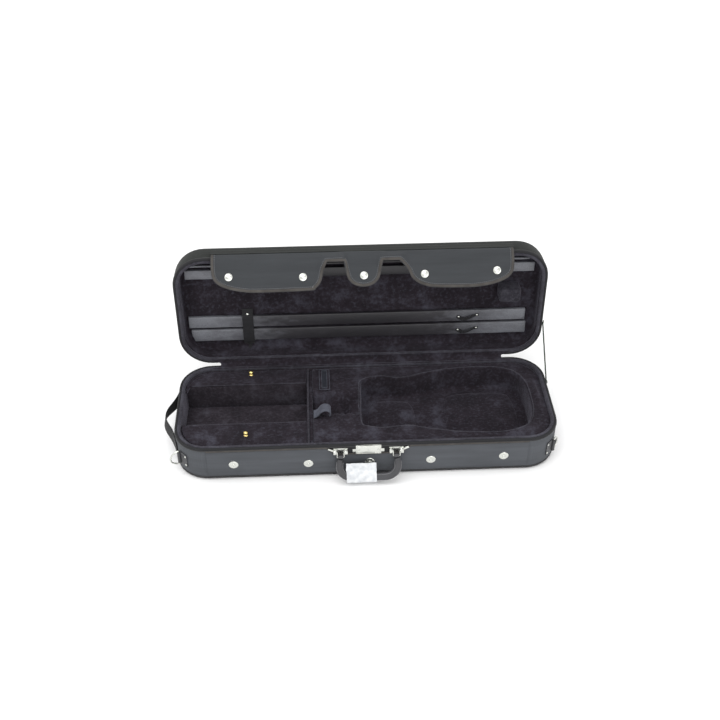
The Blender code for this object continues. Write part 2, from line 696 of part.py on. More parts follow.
def long_lobe(start, end, slant):
    """A lobe's outline from the notch down its slanted inner side and up its rounded outer end."""
    inner = ((0.66, -0.0340), (1.0, -0.0520), (1.5, -0.0630), (2.1, -0.0695), (3.0, -0.0738))
    outer = (
        (0.100, -0.0755), (0.066, -0.0735), (0.036, -0.0672), (0.014, -0.0572), (0.003, -0.0440),
        (0.0, -0.0250),
    )
    return [
        ((start, FLAP_NOTCH), "corner"),
        *(((start + share * slant, y), "smooth") for share, y in inner),
        *(((end - inset, y), "smooth") for inset, y in outer),
        ((end, FLAP_TOP), "corner"),
    ]


def middle_lobe(low, high):
    """The short lobe between the handle's two lugs."""
    centre, half = (low + high) / 2, (high - low) / 2
    side = ((0.94, -0.0350), (0.80, -0.0530), (0.48, -0.0645))
    return [
        ((low, FLAP_NOTCH), "corner"),
        *(((centre - share * half, y), "smooth") for share, y in side),
        ((centre, -0.0688), "smooth"),
        *(((centre + share * half, y), "smooth") for share, y in reversed(side)),
        ((high, FLAP_NOTCH), "corner"),
    ]


def flap_outline():
    """Three lobes hang from one band, which is narrow enough to pass over the handle's lugs."""
    right = long_lobe(0.078, 0.319, 0.025)
    left = [((-x, y), kind) for (x, y), kind in reversed(long_lobe(0.0735, 0.314, 0.012))]
    return left + middle_lobe(-0.0370, 0.0415) + right


def build_flap():
    """The flap leans out from its fold, just outside the lid's lip, and hangs steeper as the lid shuts."""
    fold = empty("flap_fold_axis", opened(FLAP_SHUT), (math.pi / 2 - FLAP_LEAN, 0, 0))
    outline = flap_outline()
    plate("flap", [p for p, _ in outline], FLAP_THICK, CANVAS, parent=fold, kinds=[k for _, k in outline])
    profile = [(0, 0.0026), (0.0040, 0.0022), (0.0070, 0.0012), (0.0084, 0.0), (0, 0.0)]
    for index, (x, stud_drop) in enumerate(zip(SNAP_X, SNAP_DROP), start=1):
        drop = (stud_drop + FLAP_SLACK + FLAP_SHUT.z - RIM_HEIGHT) / math.cos(FLAP_SHUT_LEAN)
        turned(f"snap_cap_{index}", profile, NICKEL, (x, -drop, FLAP_THICK / 2 + FIT), parent=fold)


# ---------------------------------------------------------------- build

build_base()
build_front_panel()
build_neck_block(build_cradle())
build_accessory_boxes()
build_neck_straps()
build_lock()
build_handle()
build_snap_studs()
build_strap_rings()
build_end_handle()
build_hinges()
build_stay_cord()
build_lid()
build_hasp()
build_flap()
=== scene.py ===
"""Looks of the oblong violin case: canvas, velvet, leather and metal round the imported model.

Frame: metres, +Z up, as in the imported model. Pieces of the lid are built where they lie when the lid
is shut, then turned to the open position.
"""
import json
import math

import bmesh
import bpy
from mathutils import Matrix, Vector, noise


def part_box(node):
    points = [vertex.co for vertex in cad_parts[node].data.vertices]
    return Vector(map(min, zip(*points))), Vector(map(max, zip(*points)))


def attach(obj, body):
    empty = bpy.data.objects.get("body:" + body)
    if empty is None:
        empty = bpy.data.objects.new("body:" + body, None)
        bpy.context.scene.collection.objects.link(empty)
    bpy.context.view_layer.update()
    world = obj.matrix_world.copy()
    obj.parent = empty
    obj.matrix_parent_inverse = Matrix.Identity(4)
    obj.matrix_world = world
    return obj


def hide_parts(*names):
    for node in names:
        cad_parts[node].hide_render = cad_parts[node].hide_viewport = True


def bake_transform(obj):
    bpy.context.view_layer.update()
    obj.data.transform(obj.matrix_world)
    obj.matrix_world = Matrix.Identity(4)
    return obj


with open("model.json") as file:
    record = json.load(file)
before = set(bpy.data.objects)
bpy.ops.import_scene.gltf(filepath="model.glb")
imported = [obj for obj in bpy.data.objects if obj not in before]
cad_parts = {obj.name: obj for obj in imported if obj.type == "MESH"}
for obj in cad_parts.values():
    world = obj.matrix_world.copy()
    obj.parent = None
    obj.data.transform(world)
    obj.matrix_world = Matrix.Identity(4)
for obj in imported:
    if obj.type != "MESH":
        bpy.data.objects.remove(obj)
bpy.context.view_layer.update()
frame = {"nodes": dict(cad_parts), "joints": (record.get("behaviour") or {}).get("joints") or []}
UP = Vector((0, 0, 1))

# ---------------------------------------------------------------- sizes read from the frame

JOINTS = {joint["name"]: joint for joint in frame["joints"]}
HINGE = Vector(JOINTS["lid_hinge"]["pos_m"])
OPEN_ANGLE = math.radians(-JOINTS["lid_hinge"]["range_deg"][0])
OPENED = Matrix.Translation(HINGE) @ Matrix.Rotation(-OPEN_ANGLE, 4, "X") @ Matrix.Translation(-HINGE)
SHUT = OPENED.inverted()


def unit(value):
    """The value, held between 0 and 1."""
    return max(0.0, min(1.0, value))


def eased(value, start, end):
    """0 before start, 1 after end, and a smooth rise between them."""
    t = unit((value - start) / (end - start))
    return t * t * (3 - 2 * t)


def length_of(path):
    return sum((b - a).length for a, b in zip(path, path[1:]))


def heading(path, i):
    """The way an open path runs at its point i."""
    return (path[min(i + 1, len(path) - 1)] - path[max(i - 1, 0)]).normalized()


def node_box(node, turn=None):
    """Lowest and highest corner of a node, optionally after turning it, such as by SHUT."""
    points = [turn @ v.co if turn else v.co for v in frame["nodes"][node].data.vertices]
    return tuple(Vector(pick(p[i] for p in points) for i in range(3)) for pick in (min, max))


def middle(node, turn=None):
    low, high = node_box(node, turn)
    return (low + high) / 2


BASE_LOW, BASE_HIGH = node_box("base_bottom_panel")
HALF_LENGTH = BASE_HIGH.x
HALF_WIDTH = BASE_HIGH.y
RIM = HINGE.z
SEAM = BASE_HIGH.z  # where the side canvas meets the bottom
CORNER = 0.068
LID_TOP = node_box("lid_cover", SHUT)[1].z
FLOOR = node_box("accessory_partition")[0].z
BLOCK_TOP = node_box("cradle_block")[1].z
WALL_INSET = HALF_LENGTH - node_box("lid_liner", SHUT)[1].x  # the inside of the walls

# ---------------------------------------------------------------- mesh helpers


def piece(name, bm, mat, body=None, lid=False, crease=40, replaces=()):
    """Makes a mesh object in the frame. Faces meeting at more than crease degrees stay sharp."""
    bmesh.ops.recalc_face_normals(bm, faces=bm.faces)
    mesh = bpy.data.meshes.new(name)
    bm.to_mesh(mesh)
    bm.free()
    if lid:
        mesh.transform(OPENED)
    mesh.shade_smooth()
    mesh.set_sharp_from_angle(angle=math.radians(crease))
    mesh.materials.append(mat)
    obj = bpy.data.objects.new(name, mesh)
    bpy.context.scene.collection.objects.link(obj)
    if body:
        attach(obj, body)
    if replaces:
        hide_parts(*replaces)
    return obj


def apply_modifiers(obj):
    graph = bpy.context.evaluated_depsgraph_get()
    obj.data = bpy.data.meshes.new_from_object(obj.evaluated_get(graph))
    obj.modifiers.clear()


def join_rings(bm, rings, closed=True):
    """Faces between rings of points. closed joins each ring's last point to its first."""
    rows = [[bm.verts.new(p) for p in ring] for ring in rings]
    count = len(rows[0])
    for low, high in zip(rows, rows[1:]):
        for i in range(count if closed else count - 1):
            j = (i + 1) % count
            bm.faces.new((low[i], low[j], high[j], high[i]))
    return rows


def border(rows):
    """The outer vertices of a grid, in order round it."""
    start, end = [row[0] for row in rows], [row[-1] for row in reversed(rows)]
    return start + rows[-1][1:] + end[1:] + rows[0][-2:0:-1]


def close_sheet(bm, front, back):
    """A thin closed sheet: a skin over each grid of points and a strip round their borders."""
    one, two = (border(join_rings(bm, grid, closed=False)) for grid in (front, back))
    for i in range(len(one)):
        j = (i + 1) % len(one)
        bm.faces.new((one[i], one[j], two[j], two[i]))


def outline(inset, corner_steps=10, step=0.012):
    """The case's rounded outline, drawn in by inset, with points along its straight sides too."""
    radius = max(CORNER - inset, 0.004)
    side_x, side_y = HALF_LENGTH - inset - radius, HALF_WIDTH - inset - radius
    points = []
    centres = ((side_x, -side_y, -90), (side_x, side_y, 0), (-side_x, side_y, 90), (-side_x, -side_y, 180))
    for index, (x, y, start) in enumerate(centres):
        for i in range(corner_steps + 1):
            angle = math.radians(start + 90 * i / corner_steps)
            points.append((x + radius * math.cos(angle), y + radius * math.sin(angle)))
        after = centres[(index + 1) % 4]
        turn = math.radians(after[2])
        to = (after[0] + radius * math.cos(turn), after[1] + radius * math.sin(turn))
        here = points[-1]
        straight = (HALF_LENGTH, HALF_WIDTH)[index % 2 == 0] * 2 - 2 * CORNER
        parts = max(2, round(straight / step))
        points += [tuple(a + (b - a) * i / parts for a, b in zip(here, to)) for i in range(1, parts)]
    return points


def sweep(name, profile, mat, body, lid=False, ends="loop", lumps=0.0, grain=0.03, crease=40, replaces=()):
    """A profile of (inset, height) points taken round the case's outline.

    ends is "loop" for a closed profile, or "cap" to fill the first and last ring with a face.
    """
    bm = bmesh.new()
    shape = profile + [profile[0]] if ends == "loop" else profile
    rings = [[Vector((x, y, z)) for x, y in outline(inset)] for inset, z in shape]
    rows = join_rings(bm, rings)
    if ends == "cap":
        bm.faces.new(rows[0])
        bm.faces.new(rows[-1])
    bmesh.ops.remove_doubles(bm, verts=bm.verts, dist=1e-6)
    ruffle(bm, lumps, grain)
    return piece(name, bm, mat, body, lid, crease, replaces)


def ruffle(bm, amount, grain, seed=0.0):
    """Moves each point along its normal by smooth noise, so that cloth is never quite flat."""
    if not amount:
        return
    bmesh.ops.recalc_face_normals(bm, faces=bm.faces)
    bm.normal_update()
    moves = [(v, v.normal * amount * noise.noise(v.co / grain + Vector((seed, seed, 0)))) for v in bm.verts]
    for vert, move in moves:
        vert.co += move


def circle(centre, radius, steps=10):
    turns = [2 * math.pi * i / steps for i in range(steps)]
    return [(centre[0] + radius * math.cos(turn), centre[1] + radius * math.sin(turn)) for turn in turns]


def along(points, steps):
    """Points evenly spaced on a smooth curve through the given ones."""
    ends = [2 * points[0] - points[1], *points, 2 * points[-1] - points[-2]]
    fine = []
    for a, b, c, d in zip(ends, ends[1:], ends[2:], ends[3:]):
        for i in range(12):
            t = i / 12
            curved = (2 * a - 5 * b + 4 * c - d) * t * t + (3 * b - a - 3 * c + d) * t ** 3
            fine.append(0.5 * (2 * b + (c - a) * t + curved))
    fine.append(points[-1])
    return evenly(fine, steps)


def evenly(points, steps):
    lengths = [0.0]
    for a, b in zip(points, points[1:]):
        lengths.append(lengths[-1] + (b - a).length)
    found, index = [], 0
    for i in range(steps + 1):
        want = lengths[-1] * i / steps
        while index < len(lengths) - 2 and lengths[index + 1] < want:
            index += 1
        span = lengths[index + 1] - lengths[index]
        found.append(points[index].lerp(points[index + 1], (want - lengths[index]) / span if span else 0.0))
    return found


def tube(bm, path, section, side=None, cyclic=False):
    """Sweeps a closed section of (across, out) points along a path. side fixes the across direction."""
    rings = []
    count = len(path)
    across = None
    for i, point in enumerate(path):
        before = path[(i - 1) % count] if cyclic or i else point
        after = path[(i + 1) % count] if cyclic or i < count - 1 else point
        run = (after - before).normalized()
        if side is not None:
            across = side[i] if isinstance(side, list) else side
        elif across is None:
            across = run.orthogonal()
        across = (across - run * across.dot(run)).normalized()
        out = run.cross(across)
        rings.append([point + across * a + out * b for a, b in section])
    if cyclic:
        rings.append(rings[0])
    rows = join_rings(bm, rings)
    if cyclic:
        bmesh.ops.remove_doubles(bm, verts=rows[0] + rows[-1], dist=1e-7)
    else:
        bm.faces.new(rows[0])
        bm.faces.new(rows[-1])


def tube_piece(name, path, section, mat, body, side=None, lid=False, cyclic=False, **more):
    """A piece made by sweeping a section along a path."""
    bm = bmesh.new()
    tube(bm, path, section, side, cyclic)
    return piece(name, bm, mat, body, lid, **more)


def round_section(radius, steps=8):
    return circle((0, 0), radius, steps)


def flat_section(width, thick, steps=3):
    """A strap's section: flat, with rounded edges."""
    radius = thick / 2
    reach = width / 2 - radius
    points = []
    for side, start in ((reach, -90), (-reach, 90)):
        for i in range(2 * steps + 1):
            angle = math.radians(start + 90 * i / steps)
            points.append((side + radius * math.cos(angle), radius * math.sin(angle)))
    return points


def bar(low, high, radius, cuts=0, segments=3, lumps=0.0, grain=0.03):
    """A block with all its edges rounded, cut across its length so that it can wander a little."""
    bm = bmesh.new()
    bmesh.ops.create_cube(bm, size=1.0)
    bmesh.ops.scale(bm, vec=high - low, verts=bm.verts)
    bmesh.ops.translate(bm, vec=(low + high) / 2, verts=bm.verts)
    bmesh.ops.bevel(bm, geom=bm.edges[:], offset=radius, segments=segments, profile=0.5, affect="EDGES")
    for axis in range(3):
        size = high[axis] - low[axis]
        number = round(size / cuts) if cuts else 0
        normal = Vector((axis == 0, axis == 1, axis == 2))
        for i in range(1, number):
            at = Vector(low) + normal * size * i / number
            geometry = bm.verts[:] + bm.edges[:] + bm.faces[:]
            bmesh.ops.bisect_plane(bm, geom=geometry, plane_co=at, plane_no=normal)
    ruffle(bm, lumps, grain)
    return bm


def lathe(bm, profile, place, axis, steps=40):
    """A turned solid: profile is (radius, height along axis), from the axis round to the axis again."""
    axis = Vector(axis).normalized()
    one = axis.orthogonal().normalized()
    two = axis.cross(one)
    start = bm.verts.new(place + axis * profile[0][1])
    stop = bm.verts.new(place + axis * profile[-1][1])
    turns = [2 * math.pi * i / steps for i in range(steps)]
    spokes = [one * math.cos(turn) + two * math.sin(turn) for turn in turns]
    rings = [[place + axis * z + spoke * r for spoke in spokes] for r, z in profile[1:-1]]
    rows = join_rings(bm, rings)
    for i in range(steps):
        j = (i + 1) % steps
        bm.faces.new((start, rows[0][i], rows[0][j]))
        bm.faces.new((stop, rows[-1][j], rows[-1][i]))


def strap(name, points, width, thick, mat, body, side=(1, 0, 0), steps=40, crease=60, **more):
    """A strap on a smooth curve through points, with its width along side."""
    path = along([Vector(p) for p in points], steps)
    return tube_piece(name, path, flat_section(width, thick), mat, body, Vector(side), crease=crease, **more)


def rivet(name, place, axis, radius, height, body, lid=False):
    """A domed metal head that stands out along axis."""
    dome = ((0, 1.0), (0.35, 0.97), (0.70, 0.80), (0.92, 0.50), (1.0, 0.18), (0.97, 0.0), (0, 0.0))
    bm = bmesh.new()
    lathe(bm, [(r * radius, z * height) for r, z in dome], Vector(place), axis, 24)
    return piece(name, bm, NICKEL, body, lid)


def stitches(name, path, outward, mat, body, pitch=0.0042, radius=0.00035, lid=False):
    """Short thread dashes along a path, standing a little proud of the cloth."""
    count = max(2, round(length_of(path) / pitch))
    ends = evenly(path, 2 * count)
    outs = outward if isinstance(outward, list) else [Vector(outward)]
    bm = bmesh.new()
    for i in range(count):
        a, b = ends[2 * i], ends[2 * i + 1]
        out = outs[round(i / count * (len(outs) - 1))]
        across = (b - a).normalized().cross(out).normalized()
        rises = ((0, -0.6), (0.2, 0.5), (0.8, 0.5), (1, -0.6))
        dash = [a.lerp(b, share) + out * radius * rise for share, rise in rises]
        tube(bm, dash, round_section(radius, 5), across)
    return piece(name, bm, mat, body, lid)


def depth_inside(point):
    """How far a point is inside the case's rounded outline."""
    a, b = abs(point.x) - (HALF_LENGTH - CORNER), abs(point.y) - (HALF_WIDTH - CORNER)
    return CORNER - (math.hypot(a, b) if a > 0 and b > 0 else max(a, b))


def inflate(obj, pressure, limit, frames=16, shrink=0.0, edge=None):
    """Blows a closed cloth form up a little with Blender's cloth, and keeps each move within limit.

    edge is the depth inside the case's outline of a sewn edge, which holds the cloth near it still.
    """
    rest = [v.co.copy() for v in obj.data.vertices]
    cloth = obj.modifiers.new("cloth", "CLOTH")
    settings = cloth.settings
    settings.quality = 4
    settings.mass = 0.15
    settings.tension_stiffness = settings.compression_stiffness = 6
    settings.shear_stiffness = 3
    settings.bending_stiffness = 0.3
    settings.use_pressure = True
    settings.uniform_pressure_force = pressure
    settings.shrink_min = shrink
    settings.effector_weights.gravity = 0
    cloth.collision_settings.use_collision = False
    for step in range(1, frames + 1):
        bpy.context.scene.frame_set(step)
    apply_modifiers(obj)
    for vert, start in zip(obj.data.vertices, rest):
        move = vert.co - start
        free = limit
        if edge is not None:
            free *= unit((depth_inside(start) - edge - 0.004) / 0.030)
        if move.length > free:
            vert.co = start + move * (free / move.length)
    bpy.context.scene.frame_set(1)


def soft_copy(node, name, mat, voxel, body, smooth=6, lumps=0.0003, grain=0.01):
    """A node's form with its edges softened and its faces uneven, as cloth-covered board or foam is."""
    mesh = frame["nodes"][node].data.copy()
    mesh.materials.clear()
    obj = bpy.data.objects.new(name, mesh)
    bpy.context.scene.collection.objects.link(obj)
    remesh = obj.modifiers.new("remesh", "REMESH")
    remesh.mode = "VOXEL"
    remesh.voxel_size = voxel
    smoothing = obj.modifiers.new("smooth", "SMOOTH")
    smoothing.iterations = smooth
    apply_modifiers(obj)
    bm = bmesh.new()
    bm.from_mesh(obj.data)
    bpy.data.objects.remove(obj)
    ruffle(bm, lumps, grain)
    return piece(name, bm, mat, body, crease=180, replaces=(node,))


# ---------------------------------------------------------------- materials


class Surface:
    """A small builder for a material's nodes. Patterns are set out in the frame's own metres."""

    def __init__(self, name, slot, roughness, metallic=0.0, **fixed):
        self.mat = bpy.data.materials.new(name)
        self.mat.use_nodes = True
        self.tree = self.mat.node_tree
        self.shader = self.tree.nodes["Principled BSDF"]
        self.shader.inputs["Roughness"].default_value = roughness
        self.shader.inputs["Metallic"].default_value = metallic
        for key, value in fixed.items():
            self.shader.inputs[key.replace("_", " ").title().replace("Ior", "IOR")].default_value = value
        self.place = self.node("ShaderNodeTexCoord").outputs["Object"]

    def node(self, kind, **inputs):
        made = self.tree.nodes.new(kind)
        for key, value in inputs.items():
            self.feed(made.inputs[key], value)
        return made

    def feed(self, socket, value):
        if isinstance(value, bpy.types.NodeSocket):
            self.tree.links.new(value, socket)
        else:
            socket.default_value = value

    def math(self, operation, a, b=0.0, c=0.0):
        made = self.tree.nodes.new("ShaderNodeMath")
        made.operation = operation
        for socket, value in zip(made.inputs, (a, b, c)):
            self.feed(socket, value)
        return made.outputs[0]

    def noise(self, size, detail=3.0, rough=0.55, stretch=(1, 1, 1)):
        """Noise with features about size metres across."""
        scaled = self.node("ShaderNodeMapping", Vector=self.place, Scale=stretch).outputs[0]
        settings = {"Scale": 1 / size, "Detail": detail, "Roughness": rough}
        return self.node("ShaderNodeTexNoise", Vector=scaled, **settings).outputs["Fac"]

    def pebbles(self, size):
        return self.node("ShaderNodeTexVoronoi", Vector=self.place, Scale=1 / size).outputs["Distance"]

    def ramp(self, value, *stops):
        """A colour ramp through (position, colour) stops."""
        made = self.tree.nodes.new("ShaderNodeValToRGB")
        points = made.color_ramp.elements
        while len(points) < len(stops):
            points.new(0.5)
        for point, (position, colour) in zip(points, stops):
            point.position = position
            point.color = (*colour, 1.0)
        self.feed(made.inputs["Fac"], value)
        return made.outputs["Color"]

    def mix(self, factor, a, b):
        """Blends two colours, by sockets 0, 6, 7 and 2 of the node, which are those for colours."""
        made = self.tree.nodes.new("ShaderNodeMix")
        made.data_type = "RGBA"
        for index, value in ((0, factor), (6, a), (7, b)):
            self.feed(made.inputs[index], (*value, 1.0) if isinstance(value, tuple) else value)
        return made.outputs[2]

    def threads(self, pitch):
        """Woven threads on any face that is square to an axis: three crossed sets of sine ridges."""
        parts = self.node("ShaderNodeSeparateXYZ", Vector=self.place)
        waves = [self.math("SINE", self.math("MULTIPLY", out, 2 * math.pi / pitch)) for out in parts.outputs]
        total = self.math("ADD", self.math("ADD", waves[0], waves[1]), waves[2])
        return self.math("MULTIPLY_ADD", total, 0.17, 0.5)

    def colour(self, value):
        self.feed(self.shader.inputs["Base Color"], value)

    def rough(self, value):
        self.feed(self.shader.inputs["Roughness"], value)

    def bump(self, height, strength, depth):
        made = self.node("ShaderNodeBump", Height=height, Strength=strength, Distance=depth)
        self.tree.links.new(made.outputs["Normal"], self.shader.inputs["Normal"])


def shade(colour, factor):
    return tuple(min(1.0, c * factor) for c in colour)


def canvas_material(name, colour, slot="canvas"):
    """Woven nylon canvas: fine threads, faint bands of uneven weave, dust in the weave."""
    s = Surface(name, slot, 0.72, sheen_weight=0.04, sheen_roughness=0.4, specular_ior_level=0.25)
    threads = s.threads(0.0009)
    bands = s.noise(0.05, 4, stretch=(0.3, 1, 4))
    worn = s.noise(0.12, 3)
    base = s.ramp(bands, (0.25, shade(colour, 0.82)), (0.75, shade(colour, 1.15)))
    base = s.mix(s.math("MULTIPLY", threads, 0.25), base, shade(colour, 0.50))
    base = s.mix(s.math("MULTIPLY", s.math("SUBTRACT", worn, 0.5), 0.5), base, shade(colour, 1.6))
    s.colour(base)
    s.rough(s.math("MULTIPLY_ADD", threads, 0.2, 0.62))
    s.bump(s.math("ADD", threads, s.math("MULTIPLY", bands, 0.6)), 0.22, 0.0004)
    return s.mat


def velvet_material(name, colour, pale, slot="velvet"):
    """Short pile, dark where it leans one way and paler in brushed patches and strokes."""
    s = Surface(name, slot, 0.95, sheen_weight=0.20, sheen_roughness=0.42, specular_ior_level=0.12)
    s.shader.inputs["Sheen Tint"].default_value = (0.72, 0.70, 0.85, 1.0)
    clouds = s.noise(0.050, 6, 0.70)
    brushed = s.noise(0.0075, 5, 0.72, stretch=(1, 1.7, 1))
    pile = s.noise(0.0012, 2)
    base = s.ramp(clouds, (0.38, shade(colour, 0.62)), (0.52, colour), (0.74, pale))
    strokes = s.ramp(brushed, (0.50, (0.0, 0.0, 0.0)), (0.72, (0.62, 0.62, 0.62)))
    base = s.mix(strokes, base, pale)
    base = s.mix(s.math("MULTIPLY", pile, 0.5), base, shade(colour, 0.5))
    s.colour(base)
    s.bump(s.math("ADD", pile, s.math("MULTIPLY", brushed, 1.5)), 0.5, 0.0008)
    return s.mat


def hide_material(name, colour, slot, roughness, grain=0.0016):
    """Leather or vinyl: pebbled grain with fine creases."""
    s = Surface(name, slot, roughness, specular_ior_level=0.5)
    pebbles = s.pebbles(grain)
    creases = s.noise(0.02, 5)
    scuffs = s.noise(0.05, 4, 0.6, stretch=(0.4, 1, 1))
    base = s.ramp(scuffs, (0.35, shade(colour, 0.8)), (0.7, shade(colour, 1.35)))
    s.colour(s.mix(s.math("MULTIPLY", pebbles, 0.5), base, shade(colour, 0.6)))
    s.rough(s.math("MULTIPLY_ADD", scuffs, 0.3, roughness - 0.15))
    s.bump(s.math("ADD", pebbles, creases), 0.3, 0.0003)
    return s.mat


def vinyl_highlight_material(name, colour, pale):
    """Grained vinyl, dark in the middle of the lid, with a painted highlight that grows paler towards both
    ends and is broken up by noise patches.
    """
    s = Surface(name, "vinyl", 0.42)
    parts = s.node("ShaderNodeSeparateXYZ", Vector=s.place)
    # Painted highlight: the colour grows paler with distance from the middle and stands in for the lamps'
    # reflection at the rails' ends.
    outward = s.math("MULTIPLY", s.math("ABSOLUTE", parts.outputs["X"]), 1 / 0.40)
    patches = s.noise(0.07, 4, 0.6, stretch=(0.5, 1, 1))
    worn = s.noise(0.011, 5, 0.65, stretch=(0.4, 1, 1))
    highlight_and_wear = s.math("ADD", outward, s.math("MULTIPLY", s.math("SUBTRACT", patches, 0.5), 0.7))
    highlight_and_wear = s.math("ADD", highlight_and_wear, s.math("MULTIPLY", s.math("SUBTRACT", worn, 0.5), 0.55))
    pebbles = s.pebbles(0.0016)
    base = s.ramp(highlight_and_wear, (0.15, colour), (0.45, shade(colour, 1.8)), (0.88, pale))
    s.colour(s.mix(s.math("MULTIPLY", pebbles, 0.5), base, shade(colour, 0.8)))
    s.rough(s.math("MULTIPLY_ADD", patches, 0.3, 0.28))
    s.bump(s.math("ADD", pebbles, patches), 0.3, 0.0003)
    return s.mat


def webbing_material(name, colour, slot="webbing", pitch=0.0018):
    """Ribbed woven tape."""
    s = Surface(name, slot, 0.8, sheen_weight=0.04, specular_ior_level=0.25)
    threads = s.threads(pitch)
    patches = s.noise(0.02, 4)
    base = s.ramp(patches, (0.3, shade(colour, 0.75)), (0.7, shade(colour, 1.4)))
    s.colour(s.mix(s.math("MULTIPLY", threads, 0.5), base, shade(colour, 0.45)))
    s.bump(threads, 0.6, 0.0005)
    return s.mat


def metal_material(name, colour, slot, roughness):
    """Plated metal with faint brushing, handling haze and fine scratches."""
    s = Surface(name, slot, roughness, metallic=1.0)
    haze = s.noise(0.006, 4)
    scratches = s.noise(0.0008, 3, stretch=(1, 1, 8))
    s.colour(s.mix(s.math("MULTIPLY", haze, 0.20), colour, shade(colour, 0.72)))
    s.rough(s.math("MULTIPLY_ADD", haze, 0.12, roughness - 0.05))
    s.bump(scratches, 0.12, 0.0001)
    return s.mat


def wood_material(name, colour):
    """Plywood, seen only at cut edges."""
    s = Surface(name, "shell", 0.7)
    grain = s.noise(0.012, 6, 0.6, stretch=(0.1, 1, 1))
    plies = s.noise(0.0016, 1, stretch=(0.05, 0.05, 1))
    base = s.ramp(grain, (0.3, shade(colour, 0.7)), (0.7, shade(colour, 1.3)))
    s.colour(s.mix(s.math("MULTIPLY", plies, 0.3), base, shade(colour, 0.5)))
    s.bump(grain, 0.2, 0.0005)
    return s.mat


def paper_material(name):
    """Thin crumpled white wrapping paper, which has no slot of its own. Its colour has painted shade: grey
    in the hollows of its folds and paler on their crests.
    """
    s = Surface(name, None, 0.85)
    fibres = s.noise(0.0015, 4)
    folds_and_shade = s.noise(0.012, 3)
    # Painted shade: the fold noise that bumps the paper also greys its hollows.
    s.colour(s.ramp(folds_and_shade, (0.3, (0.50, 0.52, 0.545)), (0.7, (0.70, 0.712, 0.72))))
    s.bump(s.math("ADD", fibres, s.math("MULTIPLY", folds_and_shade, 2.0)), 0.4, 0.0006)
    return s.mat


def thread_material(name, colour):
    s = Surface(name, "canvas", 0.6)
    twist = s.noise(0.0006, 2)
    s.colour(s.ramp(twist, (0.3, shade(colour, 0.7)), (0.7, shade(colour, 1.3))))
    s.bump(twist, 0.5, 0.0002)
    return s.mat


CANVAS = canvas_material("canvas_weave", (0.070, 0.075, 0.084))
# Painted shade: a much darker copy of the canvas for the lid's cover, its music pocket and the flap's seam
# tape. It stands in for the little light the lid's upturned faces get from the front lamps.
SHADED_LID_CANVAS = canvas_material("lid_canvas_painted_shade", (0.0150, 0.0168, 0.0155))
FLAP_CANVAS = canvas_material("flap_canvas", (0.0345, 0.0375, 0.0415))
BLACK_CANVAS = canvas_material("black_canvas", (0.016, 0.016, 0.018))
BINDING = webbing_material("binding_tape", (0.062, 0.057, 0.053), "canvas", 0.0012)
VELVET = velvet_material("velvet_pile", (0.0200, 0.0156, 0.0206), (0.070, 0.070, 0.091))
# Painted light: a paler copy of VELVET for the base's inner walls, box walls and accessory floor. It stands
# in for fill light in those shaded hollows.
LIT_LINING_VELVET = velvet_material("lining_velvet_painted_light", (0.0330, 0.0270, 0.0335), (0.092, 0.088, 0.108))
RIM_VELVET = velvet_material("rim_velvet", (0.046, 0.044, 0.054), (0.090, 0.091, 0.110))
PLUSH = velvet_material("plush", (0.080, 0.084, 0.105), (0.125, 0.132, 0.160))
PLUSH_DARK = velvet_material("dark_plush", (0.030, 0.028, 0.036), (0.088, 0.087, 0.104))
# The pale colour is the painted highlight at the rails' ends.
VINYL_PAINTED_HIGHLIGHT = vinyl_highlight_material("vinyl_hide_painted_highlight", (0.019, 0.018, 0.021), (0.190, 0.197, 0.220))
PIPING = hide_material("piping", (0.010, 0.010, 0.011), "vinyl", 0.45, 0.0008)
LEATHER = hide_material("leather_hide", (0.038, 0.038, 0.042), "leather", 0.42)
LEATHER_EDGE = hide_material("leather_edge", (0.075, 0.076, 0.082), "leather", 0.45, 0.0008)
WEBBING = webbing_material("webbing_tape", (0.012, 0.012, 0.013))
VELCRO = webbing_material("velcro", (0.016, 0.018, 0.026), pitch=0.0007)
NICKEL = metal_material("nickel_plate", (0.64, 0.65, 0.61), "nickel", 0.24)
BRASS = metal_material("brass_plate", (0.83, 0.66, 0.26), "brass", 0.22)
PLYWOOD = wood_material("plywood", (0.30, 0.21, 0.12))
PAPER = paper_material("wrapping_paper")
THREAD = thread_material("dark_thread", (0.050, 0.050, 0.054))
PALE_THREAD = thread_material("pale_thread", (0.20, 0.20, 0.21))
CORD = webbing_material("cord_braid", (0.020, 0.030, 0.022), "cord", 0.0011)

# ---------------------------------------------------------------- camera and light


def build_camera():
    """A level camera in front of the case, a little left of its middle, looking down at it."""
    azimuth, elevation, roll = math.radians(-3.012), math.radians(39.739), math.radians(0.222)
    data = bpy.data.cameras.new("camera")
    data.sensor_width = 36.0
    data.lens = 50.94
    data.clip_start, data.clip_end = 0.05, 30.0
    camera = bpy.data.objects.new("camera", data)
    right = Vector((math.cos(azimuth), math.sin(azimuth), 0.0))
    look = UP.cross(right) * math.cos(elevation) - UP * math.sin(elevation)
    up = right.cross(look)
    across = right * math.cos(roll) + up * math.sin(roll)
    above = up * math.cos(roll) - right * math.sin(roll)
    turn = Matrix((across, above, -look)).transposed().to_4x4()
    camera.matrix_world = Matrix.Translation((-0.0964, -1.6207, 1.5507)) @ turn
    bpy.context.scene.collection.objects.link(camera)
    bpy.context.scene.camera = camera


